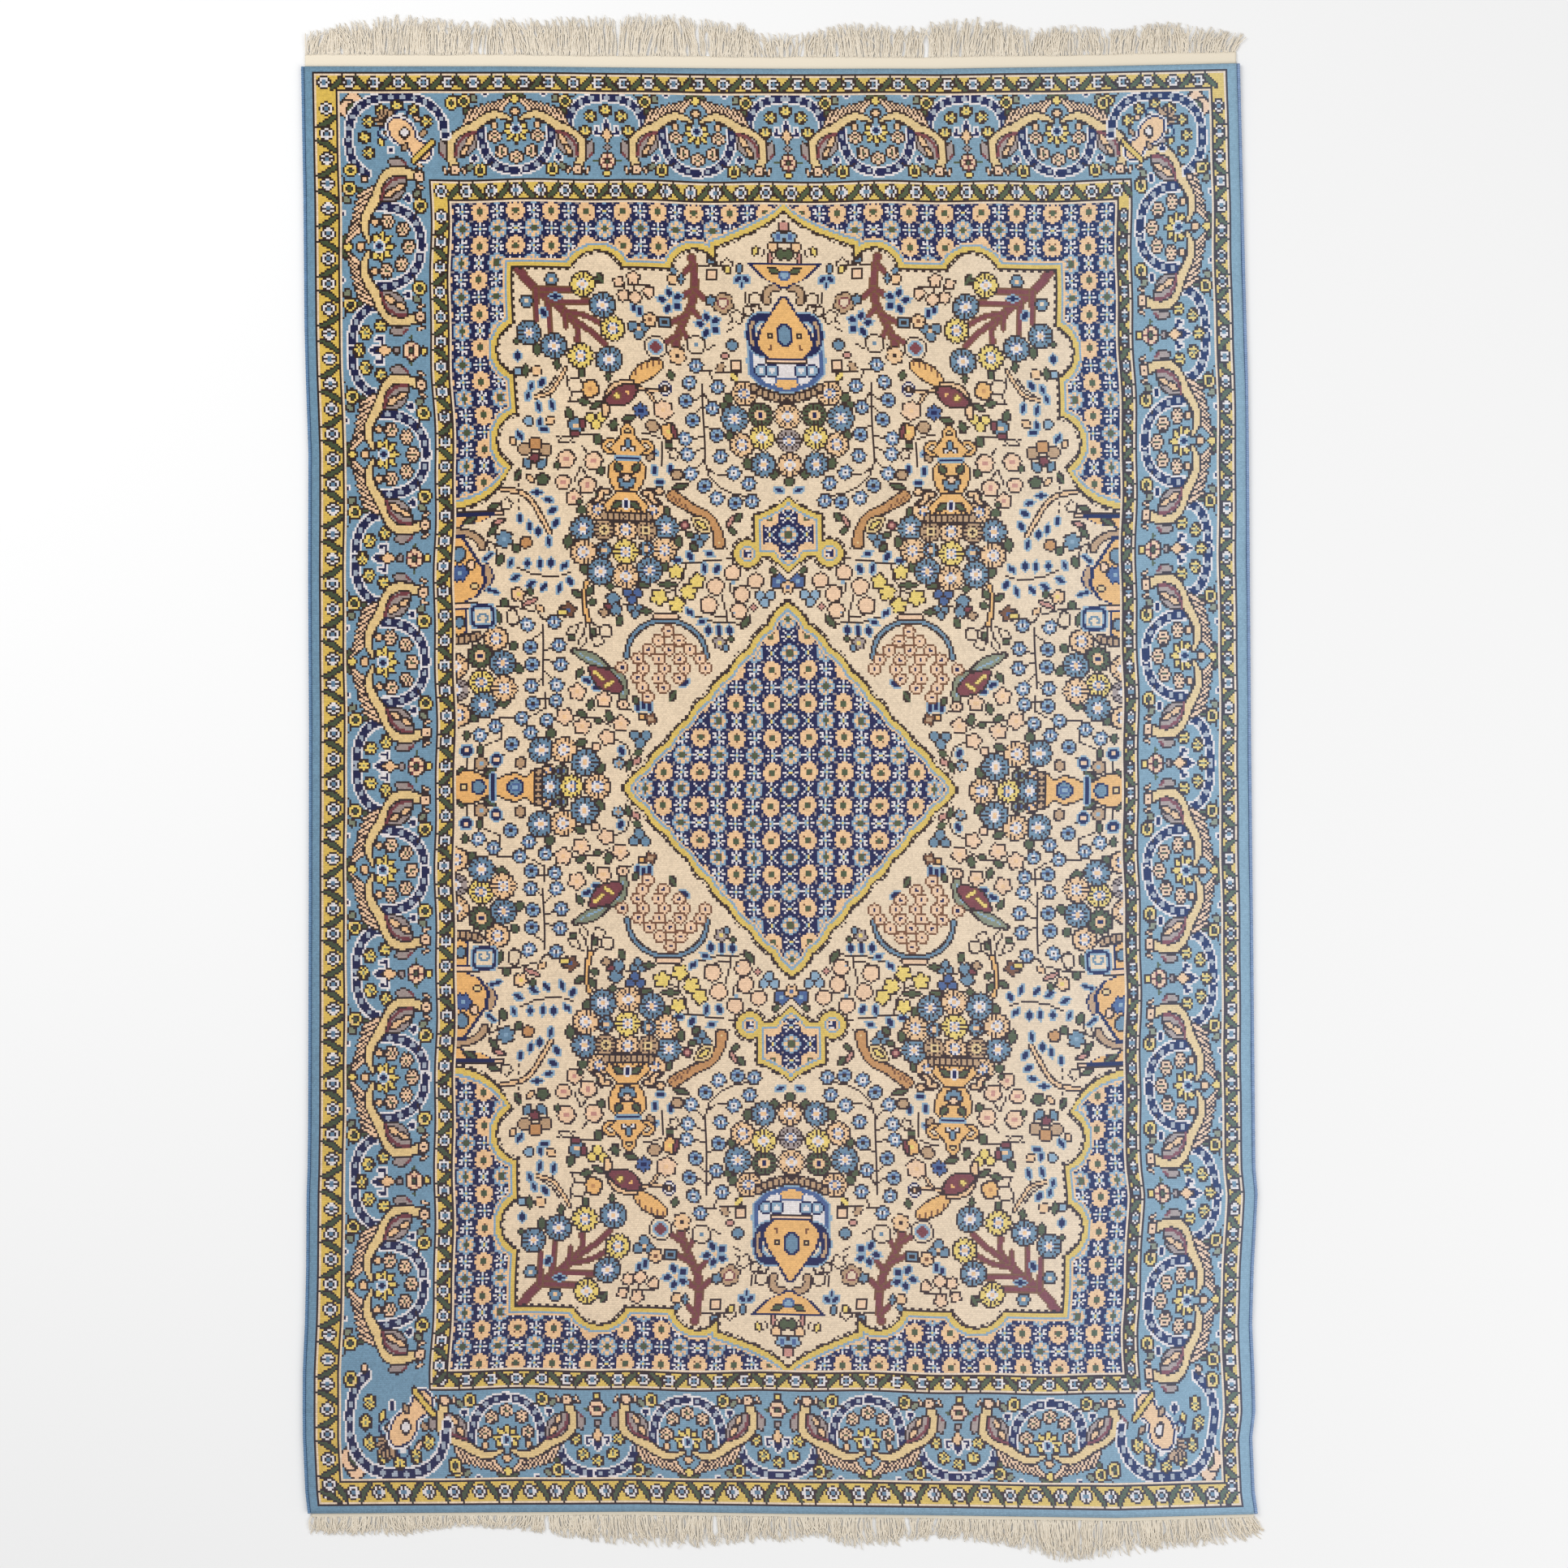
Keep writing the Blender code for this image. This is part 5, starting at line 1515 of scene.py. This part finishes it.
def fringe_piece(name, end, table, band, seed):
    """Warp ends past a band: thin tubes in two layers that lean, bow and curl by seeded random amounts."""
    chance = np.random.default_rng(seed)
    count, steps = STRANDS, 8
    s = np.sort(chance.uniform(0.004, 0.996, count))
    x0, y0 = on_rug(s, np.full(count, 1.0 if end > 0 else 0.0))
    far = y0 + end * band
    reach = column(table, 1, x0) * chance.uniform(0.72, 1.06, count)
    reach *= 1 - 0.22 * (chance.random(count) < 0.25)
    lean = column(table, 2, x0) * 0.9 + chance.normal(0, 3.4, count) + 3.5 * np.sin(x0 / 19.0)
    v = np.linspace(0, 1, steps)[None, :]
    bow = chance.normal(0, 2.6, count)[:, None] * np.sin(v * np.pi * chance.uniform(0.8, 1.7, count)[:, None])
    hook = chance.normal(0, 3.0, count)[:, None] * np.clip(v - 0.7, 0, 1) ** 2 * 9
    path = np.zeros((count, steps, 3))
    path[..., 0] = x0[:, None] + lean[:, None] * v**1.4 + bow + hook
    path[..., 1] = far[:, None] + end * (-2.5 + (reach[:, None] + 2.5) * (v - 0.06 * v**3))
    layer = chance.uniform(0, 1, count)[:, None]
    path[..., 2] = 0.85 + layer * (0.6 + 2.4 * np.sin(v * np.pi * 0.8)) * 0.8
    low, high = column(LONG_EDGES, 1, far)[:, None] - 24, column(LONG_EDGES, 2, far)[:, None] + 24
    path[..., 0] = np.clip(path[..., 0], low, high)
    radius = chance.uniform(0.62, 0.9, count)[:, None] * (1 - 0.35 * np.clip(v - 0.8, 0, 1) * 5)
    points, faces = swept(path, radius, 6, 1.0, 0.5)
    seed_of = np.repeat(np.arange(count) / count, steps * 6)
    along = np.tile(np.repeat(v[0], 6), count)
    return object_of(name, points, faces, np.stack([seed_of, along], -1))


cord_left = cord_piece("side_cord_left", 0)
cord_right = cord_piece("side_cord_right", 1)
band_top = band_piece("woven_band_top", 1, BAND_TOP)
band_bottom = band_piece("woven_band_bottom", -1, BAND_BOTTOM)
fringe_top = fringe_piece("warp_fringe_top", 1, FRINGE_TOP, BAND_TOP, 11)
fringe_bottom = fringe_piece("warp_fringe_bottom", -1, FRINGE_BOTTOM, BAND_BOTTOM, 12)


def cord_material():
    """Blue wool wound round the side cord: a turn every few millimetres, with painted shade where turns meet,
    and paler along the right side, partly real fading and partly painted light.
    """
    material, n, shader = material_of("cord_wool")
    _, _, place = drift(n)
    x, y, _ = n.parts(place)
    turns = n.math("FRACT", n.math("MULTIPLY", y, 330.0))
    thread = n.math("SINE", n.math("MULTIPLY", turns, np.pi))
    streak = n.noise(n.whole(n.math("MULTIPLY", x, 40.0), n.math("MULTIPLY", y, 90.0)), 1.0, 3.0)
    # Paler to the right: partly real fading, partly painted light from that side.
    pale = n.span(x, -0.5, 0.6, 0.0, 1.0)
    base = n.mix(pale, linear(104, 136, 170), linear(136, 160, 196))
    # Each turn's crown lighter and the waists between turns darker: painted shade.
    factor = n.math("ADD", n.math("MULTIPLY", thread, 0.16), n.span(streak, 0.3, 0.7, 0.78, 1.04))
    n.join(n.shade(base, factor), shader.inputs["Base Color"])
    bump = n.new("ShaderNodeBump")
    bump.inputs["Distance"].default_value = 0.0008
    n.join(thread, bump.inputs["Height"])
    n.join(bump.outputs[0], shader.inputs["Normal"])
    return material


def band_material():
    """Cream cotton woven plain: fine warp ribs, and two or three darker weft lines along the band."""
    material, n, shader = material_of("cotton_weave")
    _, _, place = drift(n)
    x, y, _ = n.parts(place)
    ribs = n.math("ABSOLUTE", n.math("SINE", n.math("MULTIPLY", x, 2400.0)))
    weft = n.math("ABSOLUTE", n.math("SINE", n.math("MULTIPLY", y, 640.0)))
    wander = n.noise(n.whole(n.math("MULTIPLY", x, 9.0), n.math("MULTIPLY", y, 420.0)), 1.0, 3.0, 0.6)
    line = n.span(wander, 0.52, 0.66, 0.0, 1.0)
    colour = n.mix(line, linear(234, 218, 203), linear(205, 182, 160))
    # Lighter where warp and weft ribs cross, darker in the dips between them: painted shade.
    factor = n.math("ADD", 1.0, n.math("MULTIPLY", n.math("MULTIPLY", ribs, weft), 0.1))
    n.join(n.shade(colour, factor), shader.inputs["Base Color"])
    bump = n.new("ShaderNodeBump")
    bump.inputs["Distance"].default_value = 0.0005
    n.join(n.math("ADD", ribs, weft), bump.inputs["Height"])
    n.join(bump.outputs[0], shader.inputs["Normal"])
    return material


def warp_material():
    """Cotton warp ends: cream, each its own shade, whiter at the tips and tan where they root."""
    material, n, shader = material_of("cotton_warp")
    uv = n.new("ShaderNodeUVMap", uv_map="Knots").outputs[0]
    u, v, _ = n.parts(uv)
    each = n.hash(n.whole(n.math("FLOOR", n.math("MULTIPLY", u, float(STRANDS))), 0.0))
    base = n.mix(each, linear(198, 166, 122), linear(238, 216, 184))
    tip = n.mix(n.span(v, 0.62, 1.0, 0.0, 0.75), base, linear(236, 230, 228))
    root = n.mix(n.span(v, 0.0, 0.5, 0.35, 0.0), tip, linear(204, 176, 138))
    n.join(root, shader.inputs["Base Color"])
    return material


for pieces, name, make_material in (
    ((cord_left, cord_right), "cord_wool", cord_material),
    ((band_top, band_bottom), "cotton_weave", band_material),
    ((fringe_top, fringe_bottom), "cotton_warp", warp_material),
):
    for piece in pieces:
        piece.data.materials.append(bpy.data.materials.get(name) or make_material())

for piece, slot, nodes in (
    (pile, "wool_pile", ["pile_carpet"]), (back, "wool_pile", []),
    (cord_left, "side_wool", ["selvedge_left"]), (cord_right, "side_wool", ["selvedge_right"]),
    (band_top, "cotton_weave", ["kilim_top"]), (band_bottom, "cotton_weave", ["kilim_bottom"]),
    (fringe_top, "cotton_warp", ["fringe_top"]), (fringe_bottom, "cotton_warp", ["fringe_bottom"]),
):
    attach(piece, "root")
    if nodes:
        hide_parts(*nodes)


# ---- floor, light and camera ----

FLOOR_REACH, FLOOR_LEVEL = 9, -0.0005  # metres from the middle, and just under the rug
floor_signs = ((-1, -1), (1, -1), (1, 1), (-1, 1))
floor_corners = [(x * FLOOR_REACH, y * FLOOR_REACH, FLOOR_LEVEL) for x, y in floor_signs]
floor_mesh = bpy.data.meshes.new("floor")
floor_mesh.from_pydata(floor_corners, [], [(0, 1, 2, 3)])
floor = bpy.data.objects.new("floor", floor_mesh)
bpy.context.scene.collection.objects.link(floor)
floor_paint, _, _ = material_of("floor_paint", (0.86, 0.86, 0.86, 1.0))
floor_mesh.materials.append(floor_paint)


def area_light(name, place, size, power, target=(0.0, 0.0, 0.0)):
    """A soft square light that faces a target."""
    data = bpy.data.lights.new(name, "AREA")
    data.shape, data.size, data.energy = "SQUARE", size, power
    lamp = bpy.data.objects.new(name, data)
    lamp.location = place
    away = np.array(place) - np.array(target)
    lamp.rotation_euler = (np.arctan2(np.hypot(away[0], away[1]), away[2]), 0, np.arctan2(away[0], -away[1]))
    bpy.context.scene.collection.objects.link(lamp)
    return lamp


area_light("key_light", (-2.6, 1.8, 3.2), 2.6, 95.0)
area_light("fill_light", (3.2, -1.2, 3.4), 3.2, 85.0)

world = bpy.data.worlds.new("studio")
world.use_nodes = True
world.node_tree.nodes["Background"].inputs[0].default_value = (1.0, 1.0, 1.0, 1.0)
world.node_tree.nodes["Background"].inputs[1].default_value = 0.55
bpy.context.scene.world = world

lens = bpy.data.cameras.new("camera")
lens.lens, lens.sensor_width = 50.0, 36.0
camera = bpy.data.objects.new("camera", lens)
camera.location = ((MIDDLE[0] - 5.9) * MM, (MIDDLE[1] + 1.2) * MM, 3.165)
bpy.context.scene.collection.objects.link(camera)
bpy.context.scene.camera = camera
bpy.context.scene.view_settings.view_transform = "Standard"
